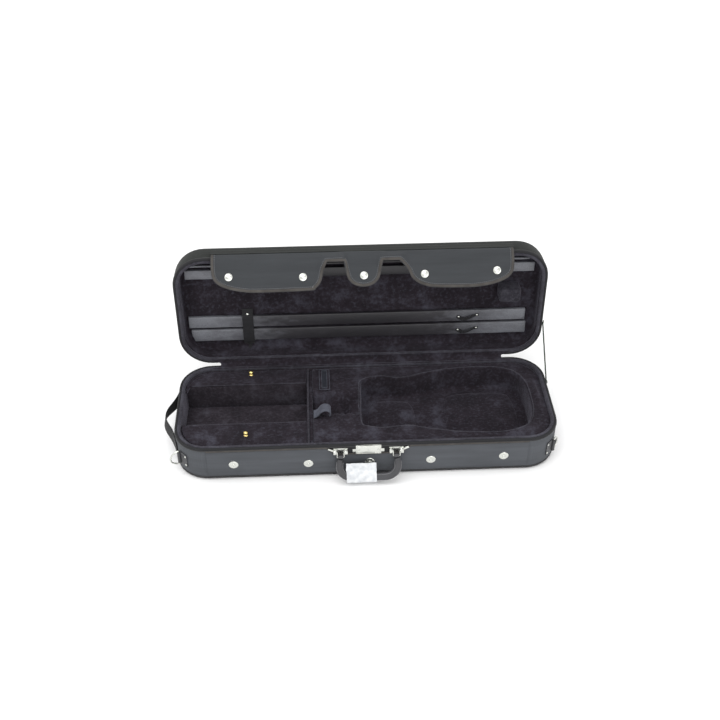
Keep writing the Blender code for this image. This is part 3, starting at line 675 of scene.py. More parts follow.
def build_stage():
    """A pale floor and a soft white room, with a broad light above and one in front."""
    bm = bmesh.new()
    bmesh.ops.create_grid(bm, x_segments=1, y_segments=1, size=6.0)
    mesh = bpy.data.meshes.new("floor")
    bm.to_mesh(mesh)
    bm.free()
    floor = bpy.data.objects.new("floor", mesh)
    floor.location.z = BASE_LOW.z - 0.0002
    mat = bpy.data.materials.new("pale_floor")
    mat.use_nodes = True
    mat.node_tree.nodes["Principled BSDF"].inputs["Base Color"].default_value = (0.93, 0.93, 0.93, 1)
    mat.node_tree.nodes["Principled BSDF"].inputs["Roughness"].default_value = 0.9
    mesh.materials.append(mat)
    bpy.context.scene.collection.objects.link(floor)

    world = bpy.data.worlds.new("room")
    world.use_nodes = True
    world.node_tree.nodes["Background"].inputs["Color"].default_value = (1.0, 1.0, 1.0, 1)
    world.node_tree.nodes["Background"].inputs["Strength"].default_value = 1.06
    bpy.context.scene.world = world
    for name, place, size, power in (
        ("top_light", (-0.5, -0.4, 2.4), 2.2, 30.0), ("front_light", (0.7, -2.6, 1.5), 1.6, 16.0),
    ):
        light = bpy.data.lights.new(name, "AREA")
        light.size = size
        light.energy = power
        lamp = bpy.data.objects.new(name, light)
        lamp.location = place
        lamp.rotation_mode = "QUATERNION"
        lamp.rotation_quaternion = (Vector((0, 0, 0.1)) - Vector(place)).to_track_quat("-Z", "Y")
        bpy.context.scene.collection.objects.link(lamp)
    bpy.context.scene.view_settings.view_transform = "Standard"


# ---------------------------------------------------------------- stay cord


def build_stay_cord():
    """A thin braided cord, pulled taut outside the right end from the base to the open lid."""
    low, high = node_box("stay_cord")
    diameter = 0.003
    x = (low.x + high.x) / 2
    radius = diameter / 2
    start, end = Vector((x, low.y + radius, low.z + 0.0012)), Vector((x, high.y - radius, high.z - 0.0012))
    path = [start.lerp(end, i / 40) for i in range(41)]
    bm = bmesh.new()
    tube(bm, path, round_section(radius))
    braid_pitch, braid_depth = 0.004, 0.00012
    for vert in bm.verts:
        vert.co.x += braid_depth * math.sin(2 * math.pi * (vert.co - start).length / braid_pitch)
    cord = piece("stay_cord_braid", bm, CORD, replaces=("stay_cord",))
    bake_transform(cord)
    head = (
        (0, 0.0006), (0.0020, 0.0008), (0.0034, 0.0003), (0.0040, -0.0006), (0.0036, -0.0012), (0, -0.0012),
    )
    for body, at in (("base", start), ("lid", end)):
        bm = bmesh.new()
        lathe(bm, head, at + Vector((0.0022, 0, 0)), (1, 0, 0), 24)
        piece(f"stay_screw_{body}", bm, NICKEL, body)


# ---------------------------------------------------------------- base: covers and rim

RIM_BINDING = ((0.0004, 0.0044), (-0.0004, 0.0030), (0.0000, 0.0012), (0.0016, 0.0005), (0.0038, 0.0006),
               (0.0046, 0.0014), (0.0046, 0.0044))
RIM_ROLL = ((0.0047, 0.0044), (0.0048, 0.0014), (0.0060, 0.0005), (0.0082, 0.0004), (0.0102, 0.0008),
            (0.0114, 0.0022), (0.0118, 0.0044), (0.0112, 0.0072), (0.0096, 0.0080), (0.0090, 0.0044))


def build_rims():
    """Canvas binding and a velvet roll round both rims, with piping under the binding."""
    for body, sign, lid in (("base", -1, False), ("lid", 1, True)):
        binding = [(inset, RIM + sign * depth) for inset, depth in RIM_BINDING]
        roll = [(inset, RIM + sign * depth) for inset, depth in RIM_ROLL]
        piping = circle((0.0004, RIM + sign * 0.0058), 0.0017)
        sweep(f"{body}_rim_binding", binding, BLACK_CANVAS, body, lid, replaces=(f"{body}_rim_lip",))
        sweep(f"{body}_rim_roll", roll, RIM_VELVET, body, lid, lumps=0.0002, grain=0.012, crease=70)
        sweep(f"{body}_rim_piping", piping, PIPING, body, lid, crease=180)


def build_base_cover():
    """Canvas round the base, bowed out a little, with piping where it meets the bottom."""
    low, high = SEAM + 0.0006, RIM - 0.0046
    bow = [(-0.0004, 0.030), (-0.0005, 0.050), (-0.0003, 0.070)]
    skin = [(0.0008, low), (0.0002, low + 0.003), *bow, (0.0003, high), (0.0014, high), (0.0014, low)]
    sweep("base_canvas", skin, CANVAS, "base", lumps=0.0003, grain=0.06, replaces=("base_side_cover",))
    sweep("bottom_piping", circle((0.0008, SEAM + 0.0002), 0.0016), PIPING, "base", crease=180)


def panel_top(x):
    """Height of the front canvas: it dips in the middle, where the handle and lock are."""
    high, dip = RIM - 0.0056, 0.0645
    reach, shoulder = 0.089, 0.026
    return high + (dip - high) * (1 - eased(abs(x), reach - shoulder, reach))


def build_front_canvas():
    """The canvas on the front wall, with a turned and stitched top edge, over a black backing."""
    low, high = node_box("front_panel")
    face, bottom = low.y, low.z
    columns, rows = 166, 12
    places = [low.x + (high.x - low.x) * i / columns for i in range(columns + 1)]
    grid = []
    for x in places:
        line = []
        for j in range(rows + 1):
            t = j / rows
            z = bottom + (panel_top(x) - bottom) * t
            puff = 0.0007 * math.sin(math.pi * t) + 0.0003 * noise.noise(Vector((x / 0.05, z / 0.03, 0)))
            line.append(Vector((x, face - puff, z)))
        grid.append(line)
    bm = bmesh.new()
    close_sheet(bm, grid, [[Vector((p.x, high.y, p.z)) for p in line] for line in grid])
    piece("front_canvas", bm, CANVAS, "base", replaces=("front_panel",))

    hem = [Vector((x, face - 0.0002, panel_top(x) - 0.0008)) for x in places]
    tube_piece("front_canvas_hem", hem, flat_section(0.0034, 0.0018), BINDING, "base", UP)
    seam = [p + Vector((0, -0.0004, -0.0032)) for p in hem]
    foot = [Vector((x, face - 0.0003, bottom + 0.0030)) for x in places[::4]]
    stitches("front_canvas_stitches", seam, (0, -1, 0), THREAD, "base")
    stitches("front_canvas_foot_stitches", foot, (0, -1, 0), THREAD, "base")
    backing_low = Vector((-0.093, high.y - 0.0004, 0.052))
    backing_high = Vector((0.093, high.y + 0.0005, RIM - 0.0058))
    piece("lock_backing", bar(backing_low, backing_high, 0.0002, 0.02), BLACK_CANVAS, "base")


# ---------------------------------------------------------------- base: lining and boxes


def prism(points, low, high):
    """A flat slab with the outline given, from height low to height high."""
    bm = bmesh.new()
    rows = join_rings(bm, [[Vector((x, y, z)) for x, y in points] for z in (low, high)])
    bm.faces.new(rows[0])
    bm.faces.new(rows[1])
    return bm


def build_base_lining():
    """Velvet on the inside walls and on the floor of the accessory end."""
    inset, thick = WALL_INSET - 0.0004, 0.0009
    low, high = FLOOR + 0.0002, RIM - 0.0062
    skin, bowed = inset + thick, inset + thick + 0.0004
    face = [(skin, low), (bowed, low + 0.02), (bowed, high - 0.01), (skin, high)]
    wall = [(inset, low), *face, (inset, high)]
    sweep("base_wall_lining", wall, LIT_LINING_VELVET, "base", lumps=0.0003, grain=0.02)
    edge = node_box("accessory_partition")[0].x - 0.0003
    half = HALF_WIDTH - skin
    left = [(x, y) for x, y in outline(skin) if x < edge]
    left.sort(key=lambda p: math.atan2(p[1], edge - p[0]))
    floor = prism([(edge, -half), *left, (edge, half)], FLOOR - 0.0002, FLOOR + 0.0006)
    piece("accessory_floor", floor, LIT_LINING_VELVET, "base")


def build_slot_lining():
    """A folded velvet strip that fills the slot between the partition and the neck block."""
    left, right = node_box("accessory_partition")[1].x + 0.0003, node_box("neck_block")[0].x - 0.0003
    half = 0.1195
    low, high = Vector((left, -half, FLOOR)), Vector((right, half, BLOCK_TOP - 0.0040))
    strip = bar(low, high, 0.0020, 0.010, 3, 0.0006, 0.012)
    piece("partition_slot_velvet", strip, VELVET, "base", crease=180)


KNOB = (  # a turned knob's profile, as shares of its radius and height
    (0, 1.0), (0.40, 0.98), (0.76, 0.88), (0.96, 0.72), (1.0, 0.62), (0.88, 0.48), (0.60, 0.38),
    (0.46, 0.30), (0.50, 0.20), (0.84, 0.10), (0.92, 0.04), (0.86, 0.0), (0, 0.0),
)


def build_boxes():
    """Velvet-covered walls, the two box lids and their knobs."""
    for node in ("accessory_partition", "front_box_wall", "back_box_wall"):
        low, high = node_box(node)
        bm = bar(low, high, 0.0012, 0.012, 2, 0.0004, 0.018)
        piece(f"{node}_velvet", bm, LIT_LINING_VELVET, "base", crease=180, replaces=(node,))
    for word in ("front", "back"):
        lid = f"{word}_box_lid"
        soft_copy(lid, f"{lid}_velvet", VELVET, 0.0014, lid, smooth=5, lumps=0.0004, grain=0.02)
        low, high = node_box(f"{word}_box_knob")
        place = Vector(((low.x + high.x) / 2, (low.y + high.y) / 2, low.z))
        tall, wide = high.z - low.z, (high.x - low.x) / 2
        bm = bmesh.new()
        lathe(bm, [(r * wide, z * tall) for r, z in KNOB], place, UP)
        piece(f"{word}_box_knob_turned", bm, BRASS, lid, replaces=(f"{word}_box_knob",))
    low, high = node_box("front_box_lid")
    left, right, steps = low.x + 0.012, high.x - 0.002, 20
    for word, sign in (("front", 1), ("back", -1)):
        y = middle(f"{word}_box_wall").y + 0.0022 * sign
        line = [Vector((left + (right - left) * i / steps, y, high.z - 0.0008)) for i in range(steps + 1)]
        tube_piece(f"{word}_box_lid_welt", line, round_section(0.0009, 6), RIM_VELVET, f"{word}_box_lid")
    low, high = node_box("accessory_partition")
    half = 0.118
    for index, x in enumerate((low.x + 0.0006, high.x - 0.0006), start=1):
        line = [Vector((x, -half + 2 * half * i / steps, high.z)) for i in range(steps + 1)]
        tube_piece(f"partition_welt_{index}", line, round_section(0.0007, 6), RIM_VELVET, "base")


# ---------------------------------------------------------------- base: velvet round the violin

CENTRE_Y = 0.007
HOLLOW_CENTRE = Vector((0.170, CENTRE_Y, 0.0))
HOLLOW_LEFT = -0.012
VALLEY_RADIUS = 0.034
VALLEY_ABOVE = 0.004  # the valley's axis lies this far above the blocks
STATIONS = (  # x along the violin's body, and the hollow's half width there
    (-0.012, 0.050), (-0.004, 0.074), (0.036, 0.084), (0.088, 0.078), (0.142, 0.092), (0.200, 0.103),
    (0.255, 0.106), (0.305, 0.102), (0.340, 0.085), (0.358, 0.050),
)


def hollow_edge(count):
    """The hollow's edge seen from above, from the middle of its left end round by the front."""
    front = [Vector((x, CENTRE_Y - half, 0)) for x, half in STATIONS]
    back = [Vector((x, CENTRE_Y + half, 0)) for x, half in reversed(STATIONS)]
    ends = Vector((HOLLOW_LEFT - 0.001, CENTRE_Y, 0))
    loop = [ends, *front, Vector((0.362, CENTRE_Y, 0)), *back, ends]
    return along(loop, count)[:-1]


def block_outline(inset, left):
    """Outline of the blocks: the case's own at the right, cut straight at left."""
    half = HALF_WIDTH - inset
    kept = [Vector((x, y, 0)) for x, y in outline(inset) if x > left]
    kept.sort(key=lambda p: math.atan2(p.y, p.x - left))
    return [Vector((left, -half, 0)), *kept, Vector((left, half, 0))]


def ray_hit(loop, origin, direction):
    """Where a ray from inside a closed loop leaves it."""
    best = None
    for a, b in zip(loop, loop[1:] + loop[:1]):
        edge = b - a
        cross = direction.x * edge.y - direction.y * edge.x
        if abs(cross) < 1e-12:
            continue
        gap = a - origin
        far = (gap.x * edge.y - gap.y * edge.x) / cross
        share = (gap.x * direction.y - gap.y * direction.x) / cross
        if far > 0 and -1e-6 <= share <= 1 + 1e-6 and (best is None or far < best):
            best = far
    return origin + direction * best


def valley_height(y):
    """The neck's round valley, whose axis is level."""
    across = min(VALLEY_RADIUS, abs(y - CENTRE_Y))
    return BLOCK_TOP + VALLEY_ABOVE - math.sqrt(VALLEY_RADIUS ** 2 - across ** 2)


def smooth_min(a, b, soft):
    """The lower of two heights, rounded where they cross."""
    h = unit(0.5 + 0.5 * (b - a) / soft)
    return b + (a - b) * h - soft * h * (1 - h)


def block_height(x, y, left):
    """The velvet's height over the blocks: soft swellings, the neck's valley with its folds, a ridge."""
    z = BLOCK_TOP + 0.0014 * noise.noise(Vector((x / 0.06, y / 0.05, 3.0)))
    z += 0.0007 * noise.noise(Vector((x / 0.016, y / 0.016, 7.0)))
    if x < HOLLOW_LEFT + 0.012:
        z = smooth_min(z, valley_height(y), 0.010)
        near = unit(1 - abs(y - CENTRE_Y) / 0.055) * unit(min((x - left) / 0.02, (-0.014 - x) / 0.01))
        z += 0.0078 * near * math.sin(2 * math.pi * (x + 0.45 * (y - CENTRE_Y)) / 0.027 + 1.2)
    ridge = unit(1 - abs(x - 0.374) / 0.012) * unit(1 - abs(y - 0.015) / 0.085)
    return z + 0.0062 * eased(ridge, 0, 1)


def build_cradle():
    """One velvet cloth over the neck block and the cradle, falling into the hollow and over its floor."""
    count = 264
    left = node_box("neck_block")[0].x
    inset = WALL_INSET + 0.0012
    outer_loop = block_outline(inset, left)
    edge = hollow_edge(count)
    outer = [ray_hit(outer_loop, HOLLOW_CENTRE, (p - HOLLOW_CENTRE).normalized()) for p in edge]
    for corner in (outer_loop[0], outer_loop[-1]):
        nearest = min(range(count), key=lambda i: (outer[i] - corner).length)
        outer[nearest] = corner.copy()
    inward = []
    for i in range(count):
        run = (edge[(i + 1) % count] - edge[i - 1]).normalized()
        inward.append(Vector((-run.y, run.x, 0)))

    def level(points, heights):
        return [Vector((p.x, p.y, h)) for p, h in zip(points, heights)]

    top_rings = 13
    shoulder = 0.0035  # radius of the roll at the hollow's edge
    rings = [level(outer, [FLOOR + 0.0002] * count)]
    rings.append(level(outer, [block_height(p.x, p.y, left) - 0.004 for p in outer]))
    for i in range(top_rings + 1):
        t = 0.012 + 0.988 * i / top_rings
        points = [a.lerp(b, t) for a, b in zip(outer, edge)]
        rings.append(level(points, [block_height(p.x, p.y, left) for p in points]))
    crest = rings[-1]
    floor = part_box("upper_bout_pad")[0].z - 0.0002
    quarter = [math.radians(22.5 * i) for i in (1, 2, 3, 4)]
    for angle in quarter:
        step, drop = shoulder * math.sin(angle), shoulder * (1 - math.cos(angle))
        rings.append([p + n * step - UP * drop for p, n in zip(crest, inward)])
    wall_top = rings[-1]
    slope, foot = 0.003, 0.007  # how far the wall leans in, and the radius at its foot
    for t in (0.2, 0.4, 0.6, 0.8, 1.0):
        ring = []
        for p, n in zip(wall_top, inward):
            z = p.z + (floor + foot - p.z) * t
            wave = 0.0007 * noise.noise(Vector((p.x / 0.02, p.y / 0.02, z / 0.03)))
            ring.append(Vector((p.x, p.y, z)) + n * (slope * t + wave))
        rings.append(ring)
    wall_foot = rings[-1]
    for angle in quarter:
        step, drop = foot * (1 - math.cos(angle)), foot * math.sin(angle)
        rings.append([p + n * step - UP * drop for p, n in zip(wall_foot, inward)])
    flat = rings[-1]
    for t in (0.12, 0.26, 0.42, 0.58, 0.74, 0.88):
        rings.append([
            p.lerp(Vector((HOLLOW_CENTRE.x, CENTRE_Y, p.z)), t)
            + UP * 0.0004 * noise.noise(p.lerp(HOLLOW_CENTRE, t) / 0.02)
            for p in flat
        ])
    bm = bmesh.new()
    rows = join_rings(bm, rings)
    bm.faces.new(rows[0])
    bm.faces.new(rows[-1])
    cloth = piece("cradle_velvet", bm, VELVET, "base", crease=180, replaces=("cradle_block", "neck_block"))

    crest_line = [p + n * 0.0006 + UP * 0.0003 for p, n in zip(crest, inward)]
    tube_piece("hollow_welt", crest_line, round_section(0.0011, 6), RIM_VELVET, "base", cyclic=True)


def build_pads():
    """Two thin stuffed pads on the hollow's floor, blown up a little and quilted at their edges."""
    for word in ("upper_bout", "lower_bout"):
        low, high = node_box(f"{word}_pad")
        low = low + Vector((0.002, 0.002, 0.0002))
        high = high + Vector((-0.002, -0.002, 0.0010))
        length, width, depth = (above - below for below, above in zip(low, high))
        centre_x, centre_y = (low.x + high.x) / 2, (low.y + high.y) / 2
        pitch, corner = 0.005, 0.022
        columns, rows = round(length / pitch), round(width / pitch)
        layers = []
        for side in (-1, 1):
            layer = []
            for i in range(columns + 1):
                line = []
                for j in range(rows + 1):
                    u, v = 2 * i / columns - 1, 2 * j / rows - 1
                    pull = 1 - corner / max(length, width) * (u * u * v * v)
                    swell = depth * ((1 - u ** 4) * (1 - v ** 4)) ** 0.5 if side > 0 else 0.0
                    x, y = centre_x + length / 2 * u * pull, centre_y + width / 2 * v * pull
                    line.append(Vector((x, y, low.z + swell + 0.0003 * side)))
                layer.append(line)
            layers.append(layer)
        bm = bmesh.new()
        close_sheet(bm, *layers)
        pad = piece(f"{word}_pad_velvet", bm, VELVET, "base", crease=180, replaces=(f"{word}_pad",))
        inflate(pad, 1.5, 0.002, 14, shrink=-0.03)
        pad.modifiers.new("smooth", "SUBSURF").levels = 1
        apply_modifiers(pad)


def build_neck_straps():
    """The back strap lies flat with its hook-and-loop patch up; the front one stands and curls over."""
    low, high = node_box("neck_strap_back")
    bm = bar(low, high, 0.0009, 0.006, 2, 0.0003, 0.012)
    piece("neck_strap_back_velvet", bm, VELVET, "base", crease=180, replaces=("neck_strap_back",))
    top = high.z
    patch_low = Vector((low.x + 0.0065, low.y + 0.0045, top - 0.0004))
    patch_high = Vector((high.x - 0.0065, high.y - 0.0050, top + 0.0006))
    piece("neck_strap_patch", bar(patch_low, patch_high, 0.0003, 0.004, 1, 0.0002, 0.002), VELCRO, "base")
    for index, gap in enumerate((0.0016, 0.0068), start=1):
        a = Vector((low.x + gap, low.y + gap, top + 0.0003 * index))
        b = Vector((high.x - gap, high.y - gap - 0.002, top + 0.0003 * index))
        corners = [a, Vector((b.x, a.y, a.z)), b, Vector((a.x, b.y, a.z)), a]
        path = [p for c, d in zip(corners, corners[1:]) for p in evenly([c, d], 12)[:-1]] + [a]
        tube_piece(f"neck_strap_edge_{index}", path, round_section(0.00055, 5), PLUSH, "base", UP)

    low, high = node_box("neck_strap_front")
    curl = (
        (-0.1105, 0.0016), (-0.106, 0.0030), (-0.1005, 0.0072), (-0.0955, 0.0150), (-0.087, 0.0200),
        (-0.0785, 0.0172), (-0.0750, 0.0105), (-0.0772, 0.0050),
    )
    points = [(x, (low.y + high.y) / 2, low.z + rise) for x, rise in curl]
    strap(
        "neck_strap_front_plush", points, 0.024, 0.0022, PLUSH, "base", (0, 1, 0), crease=180,
        replaces=("neck_strap_front",),
    )


def build_corner_velvet():
    """Fixed velvet in the two left corners, between each box lid's round corner and the wall."""
    gap, inset, steps = 0.0008, WALL_INSET + 0.0012, 24
    corner = Vector((CORNER - HALF_LENGTH, HALF_WIDTH - CORNER, 0))
    for word, sign in (("front", -1), ("back", 1)):
        low, high = node_box(f"{word}_box_lid")
        outer_y = high.y if sign > 0 else -low.y
        centre = Vector((low.x + CORNER, outer_y - CORNER, 0))
        foot, top = low.z - 0.004, high.z - 0.0010
        shoulder = top - 0.0008
        rings = []
        for level, share in ((foot, 0), (shoulder, 0), (top, 0.15), (top, 0.85), (shoulder, 1), (foot, 1)):
            ring = []
            for i in range(steps + 1):
                angle = math.radians(90 + 90 * i / steps)
                away = Vector((math.cos(angle), math.sin(angle), 0))
                wall, lid = corner + away * (CORNER - inset), centre + away * (CORNER + gap)
                at = wall.lerp(lid, share)
                ring.append(Vector((at.x, at.y * sign, level)))
            rings.append(ring)
        bm = bmesh.new()
        join_rings(bm, rings + [rings[0]], closed=False)
        bmesh.ops.remove_doubles(bm, verts=bm.verts, dist=1e-6)
        edges = [edge for edge in bm.edges if edge.is_boundary]
        bmesh.ops.holes_fill(bm, edges=edges, sides=0)
        ruffle(bm, 0.0002, 0.01)
        piece(f"{word}_corner_velvet", bm, VELVET, "base", crease=180)


# ---------------------------------------------------------------- lid


def build_lid_cover():
    """Canvas over the lid's sides and top, and piping round the top edge."""
    start = RIM + 0.0047
    radius = 0.0080
    outside = [(0.0004, start), (-0.0002, start + 0.006), (-0.0005, start + 0.016), (-0.0003, start + 0.026)]
    for i in range(7):
        angle = math.radians(15 * i)
        outside.append((radius * (1 - math.cos(angle)), LID_TOP - radius * (1 - math.sin(angle))))
    outside += [(inset, LID_TOP + 0.0002) for inset in (0.016, 0.030, 0.050, 0.075, 0.100)]
    inside = [(0.100, -0.0012), (0.016, -0.0014), (0.0060, -0.0044), (0.0014, -0.0120)]
    inside = [(inset, LID_TOP + drop) for inset, drop in inside] + [(0.0014, start)]
    # The lid's canvas is painted darker than the base's: painted shade.
    sweep(
        "lid_canvas_painted_shade", outside[::-1] + inside[::-1], SHADED_LID_CANVAS, "lid", lid=True, ends="cap",
        lumps=0.0003, grain=0.06, crease=180, replaces=("lid_cover",),
    )
    sweep("lid_top_piping", circle((0.0022, LID_TOP - 0.0024), 0.0013), PIPING, "lid", lid=True, crease=180)


def build_lid_lining():
    """Velvet on the lid's inside walls and roof, rounded where they meet."""
    low = RIM + 0.0064
    flat, back = (corner.z for corner in node_box("lid_liner", SHUT))
    wall = WALL_INSET
    side = [
        (wall, low), (wall + 0.0010, low), (wall + 0.0014, low + 0.010), (wall + 0.0018, flat - 0.012),
        (wall + 0.0030, flat - 0.004), (wall + 0.0064, flat - 0.0006),
    ]
    floor = [(wall + 0.010 + 0.0095 * i, flat) for i in range(12)]
    behind = [(floor[-1][0], back), (wall + 0.0040, back), (wall + 0.0004, back - 0.003), (wall, low)]
    sweep(
        "lid_lining", (side[1:] + floor)[::-1] + behind[::-1], VELVET, "lid", lid=True, ends="cap",
        lumps=0.0004, grain=0.03, crease=180, replaces=("lid_liner",),
    )


def build_bow_rails():
    """Vinyl-covered rails with soft edges. The second one's left end follows the lid's round corner."""
    for index in (1, 2, 3):
        low, high = node_box(f"bow_rail_{index}", SHUT)
        bm = bar(low, high, 0.0016, 0.018, 3, 0.00035, 0.045)
        if index == 2:
            for vert in bm.verts:
                near = max(0.0, 1 - (vert.co.x - low.x) / 0.018)
                vert.co.x += 0.007 * near * ((vert.co.y - low.y) / (high.y - low.y)) ** 3
        name = f"bow_rail_{index}"
        piece(f"{name}_vinyl", bm, VINYL_PAINTED_HIGHLIGHT, "lid", lid=True, crease=50, replaces=(name,))
    strip_low = Vector((low.x + 0.012, -0.0985, high.z - 0.0055))
    strip_high = Vector((high.x - 0.012, -0.0940, high.z))
    strip = bar(strip_low, strip_high, 0.0012, 0.02, 2, 0.0003, 0.045)
    piece("bow_rail_strip", strip, VINYL_PAINTED_HIGHLIGHT, "lid", lid=True, crease=50)


def build_bow_fittings():
    """The strap over the bow tips, a loop on each rail for the bow's other end, and the frog pad."""
    low, high = node_box("bow_tip_strap", SHUT)
    x = (low.x + high.x) / 2
    deep = node_box("bow_rail_1", SHUT)[1].z - 0.0004
    path = (
        (0.0160, deep), (0.0245, 0.1205), (0.0300, 0.1168), (0.0450, 0.1160), (0.0620, 0.1164),
        (0.0790, 0.1160), (0.0940, 0.1168), (0.1005, 0.1205), (0.1070, deep),
    )
    strap(
        "bow_tip_strap_velvet", [(x, y, z) for y, z in path], high.x - low.x - 0.002, 0.0016,
        BLACK_CANVAS, "lid", lid=True, replaces=("bow_tip_strap",),
    )
    tail = ((x + 0.002, 0.103, 0.1252), (x + 0.001, 0.112, 0.1256), (x, 0.120, 0.1250))
    strap("bow_tip_strap_tail", tail, 0.008, 0.0012, BLACK_CANVAS, "lid", lid=True)
    rivet("bow_tip_strap_stud", (x, 0.0250, 0.1195), (0, -0.6, -0.8), 0.0030, 0.0016, "lid", True)
    span = 0.041
    loop = (
        (-0.004, 0.001, 0.0004), (0.004, 0.003, 0.0016), (0.011, 0.006, 0.0052), (0.022, 0.003, 0.0062),
        (span - 0.008, -0.001, 0.0030), (span, -0.002, 0.0006), (span + 0.004, -0.002, 0.0004),
    )
    tail = ((-0.003, 0.0015, 0.0013), (0.004, 0.0065, 0.0018), (0.009, 0.0095, 0.0024))
    for index in (1, 2):
        rail = f"bow_rail_{index}"
        start = Vector((0.217, middle(rail, SHUT).y, node_box(rail, SHUT)[0].z - 0.0003))
        loop_points, tail_points = (
            [start + Vector((along_x, up, -proud)) for along_x, up, proud in shape] for shape in (loop, tail)
        )
        strap(f"bow_loop_{index}", loop_points, 0.0060, 0.0011, BLACK_CANVAS, "lid", (0, 1, 0), 32, lid=True)
        strap(
            f"bow_loop_tail_{index}", tail_points, 0.0050, 0.0008, BLACK_CANVAS, "lid", (0.5, 1, 0), 10,
            lid=True,
        )
        for side, offset in (("left", (0, 0.0014, -0.0022)), ("right", (span, -0.0020, -0.0012))):
            at = start + Vector(offset)
            rivet(f"bow_loop_rivet_{index}_{side}", at, (0, 0, -1), 0.0026, 0.0014, "lid", True)
    pad = soft_copy(
        "frog_pad", "frog_pad_velvet", PLUSH_DARK, 0.0016, "lid", smooth=10, lumps=0.0012, grain=0.010,
    )


def cap_strip(bm, rows):
    """Closes the two ends of a thin strip whose rings run out along one face and back along the other."""
    for row in (rows[0], rows[-1]):
        for i in range(len(row) // 2 - 1):
            bm.faces.new((row[i], row[i + 1], row[-i - 2], row[-i - 1]))


def build_lid_seam():
    """A velvet strip that closes the gap between the two rims along the hinge, hollowed at its ends."""
    reach, steps, thick = 0.336, 54, 0.00035
    path = (
        (0.1215, 0.0872), (0.1280, 0.0876), (0.1318, 0.0892), (0.1340, 0.0918), (0.1355, 0.0950),
        (0.1368, 0.1015),
    )
    curve = along([Vector((0, y, z)) for y, z in path], 18)
    offsets = []
    for i in range(len(curve)):
        run = heading(curve, i)
        offsets.append(Vector((0, -run.z, run.y)) * thick / 2)
    bm = bmesh.new()
    loop = [p + n for p, n in zip(curve, offsets)] + [p - n for p, n in zip(curve, offsets)][::-1]
    hollow = [0.022 * math.sin(math.pi * i / (len(curve) - 1)) for i in range(len(curve))]
    hollow += hollow[::-1]
    rings = []
    for i in range(steps + 1):
        share = -1 + 2 * i / steps
        rings.append([p + Vector((share * (reach - pull), 0, 0)) for p, pull in zip(loop, hollow)])
    cap_strip(bm, join_rings(bm, rings))
    strip = piece("hinge_seam_velvet", bm, VELVET, crease=60)
    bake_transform(strip)


def build_music_pocket():
    """A zipped canvas pocket on the lid, blown up a little, with its zip along the front edge."""
    low, high = node_box("music_pocket", SHUT)
    inset, foot = HALF_LENGTH - high.x, low.z + 0.0004
    depths = (0.100, 0.088, 0.074, 0.060, 0.046, 0.034, 0.024, 0.016, 0.008)
    tops = [(depth, high.z - 0.0012) for depth in depths]
    side = [(0.0030, high.z - 0.0016), (0.0004, high.z - 0.0036), (0.0002, low.z + 0.0030), (0.0006, foot)]
    bottoms = [(depth, foot) for depth in (0.016, 0.040, 0.070, 0.100)]
    pocket = sweep(
        "music_pocket_canvas", [(inset + depth, z) for depth, z in tops + side + bottoms], SHADED_LID_CANVAS, "lid",
        ends="cap", lumps=0.0005, grain=0.05, crease=180, replaces=("music_pocket",),
    )
    inflate(pocket, 1.2, 0.0040, 12, edge=inset)
    pocket.data.transform(OPENED)
    seam = circle((inset + 0.0022, high.z - 0.0020), 0.0011)
    sweep("music_pocket_piping", seam, PIPING, "lid", lid=True, crease=180)
    binding = ((-0.0030, 0.0002), (-0.0002, 0.0002), (-0.0002, 0.0016), (-0.0026, 0.0014))
    binding = [(inset + depth, low.z + rise) for depth, rise in binding]
    sweep("music_pocket_binding", binding, BINDING, "lid", lid=True)
    build_zip(low.y - 0.0002, middle("zip_slider", SHUT).z)


def build_zip(y, z):
    """The zip's tape and its teeth, on the pocket's front edge."""
    reach, half, pitch, stagger = 0.332, 0.0048, 0.0028, 0.0005
    low, high = Vector((-reach, y - 0.0008, z - half)), Vector((reach, y + 0.0004, z + half))
    tape = bar(low, high, 0.0003, 0.01, 1, 0.0001, 0.01)
    piece("zip_tape", tape, BLACK_CANVAS, "lid", lid=True)
    bm = bmesh.new()
    for i in range(int(2 * reach / pitch)):
        at = Vector((-reach + pitch * (i + 0.5), y - 0.0013, z + (stagger if i % 2 else -stagger)))
        tooth = bmesh.ops.create_cube(bm, size=1.0)["verts"]
        bmesh.ops.scale(bm, vec=(pitch * 0.5, 0.0012, 0.0030), verts=tooth)
        bmesh.ops.translate(bm, vec=at, verts=tooth)
    piece("zip_teeth", bm, NICKEL, "lid", lid=True)


# ---------------------------------------------------------------- flap

FOLD = Vector(JOINTS["flap_fold"]["pos_m"])
FLAP_LEAN = math.radians(40)
FLAP_DOWN = Vector((0, -math.sin(FLAP_LEAN), -math.cos(FLAP_LEAN)))
FLAP_FACE = Vector((0, -math.cos(FLAP_LEAN), math.sin(FLAP_LEAN)))
STRAIGHT_FROM = 0.0050  # the drop below the fold where the sheet is straight
FLAP_BEND = [
    Vector((0, y, z)) for y, z in (
        (0.1770, 0.3602), (0.1700, 0.3608), (0.1640, 0.3617), (0.1585, 0.3630), (0.1545, 0.3637),
        (0.1512, 0.3631), (0.1494, 0.3616),
    )
] + [FOLD + FLAP_DOWN * STRAIGHT_FROM]
BEND_LINE = along(FLAP_BEND, 60)[::-1]
BEND_LENGTH = sum((b - a).length for a, b in zip(BEND_LINE, BEND_LINE[1:]))
NOTCH = 0.0158  # how far the band between the lobes hangs below the fold
# A lobe's sides as (distance along x, drop below the fold). The inner side's distances are shares of its
# slant, and the middle lobe's are shares of its half width.
LOBE_INNER = ((0.66, 0.0340), (1.0, 0.0520), (1.5, 0.0630), (2.1, 0.0695), (3.0, 0.0738))
LOBE_OUTER = (
    (0.100, 0.0755), (0.066, 0.0735), (0.036, 0.0672), (0.014, 0.0572), (0.003, 0.0440), (0.0, 0.0250),
    (0.0, 0.0),
)
MIDDLE_SIDE = ((1.04, NOTCH), (0.94, 0.0350), (0.80, 0.0530), (0.48, 0.0645))


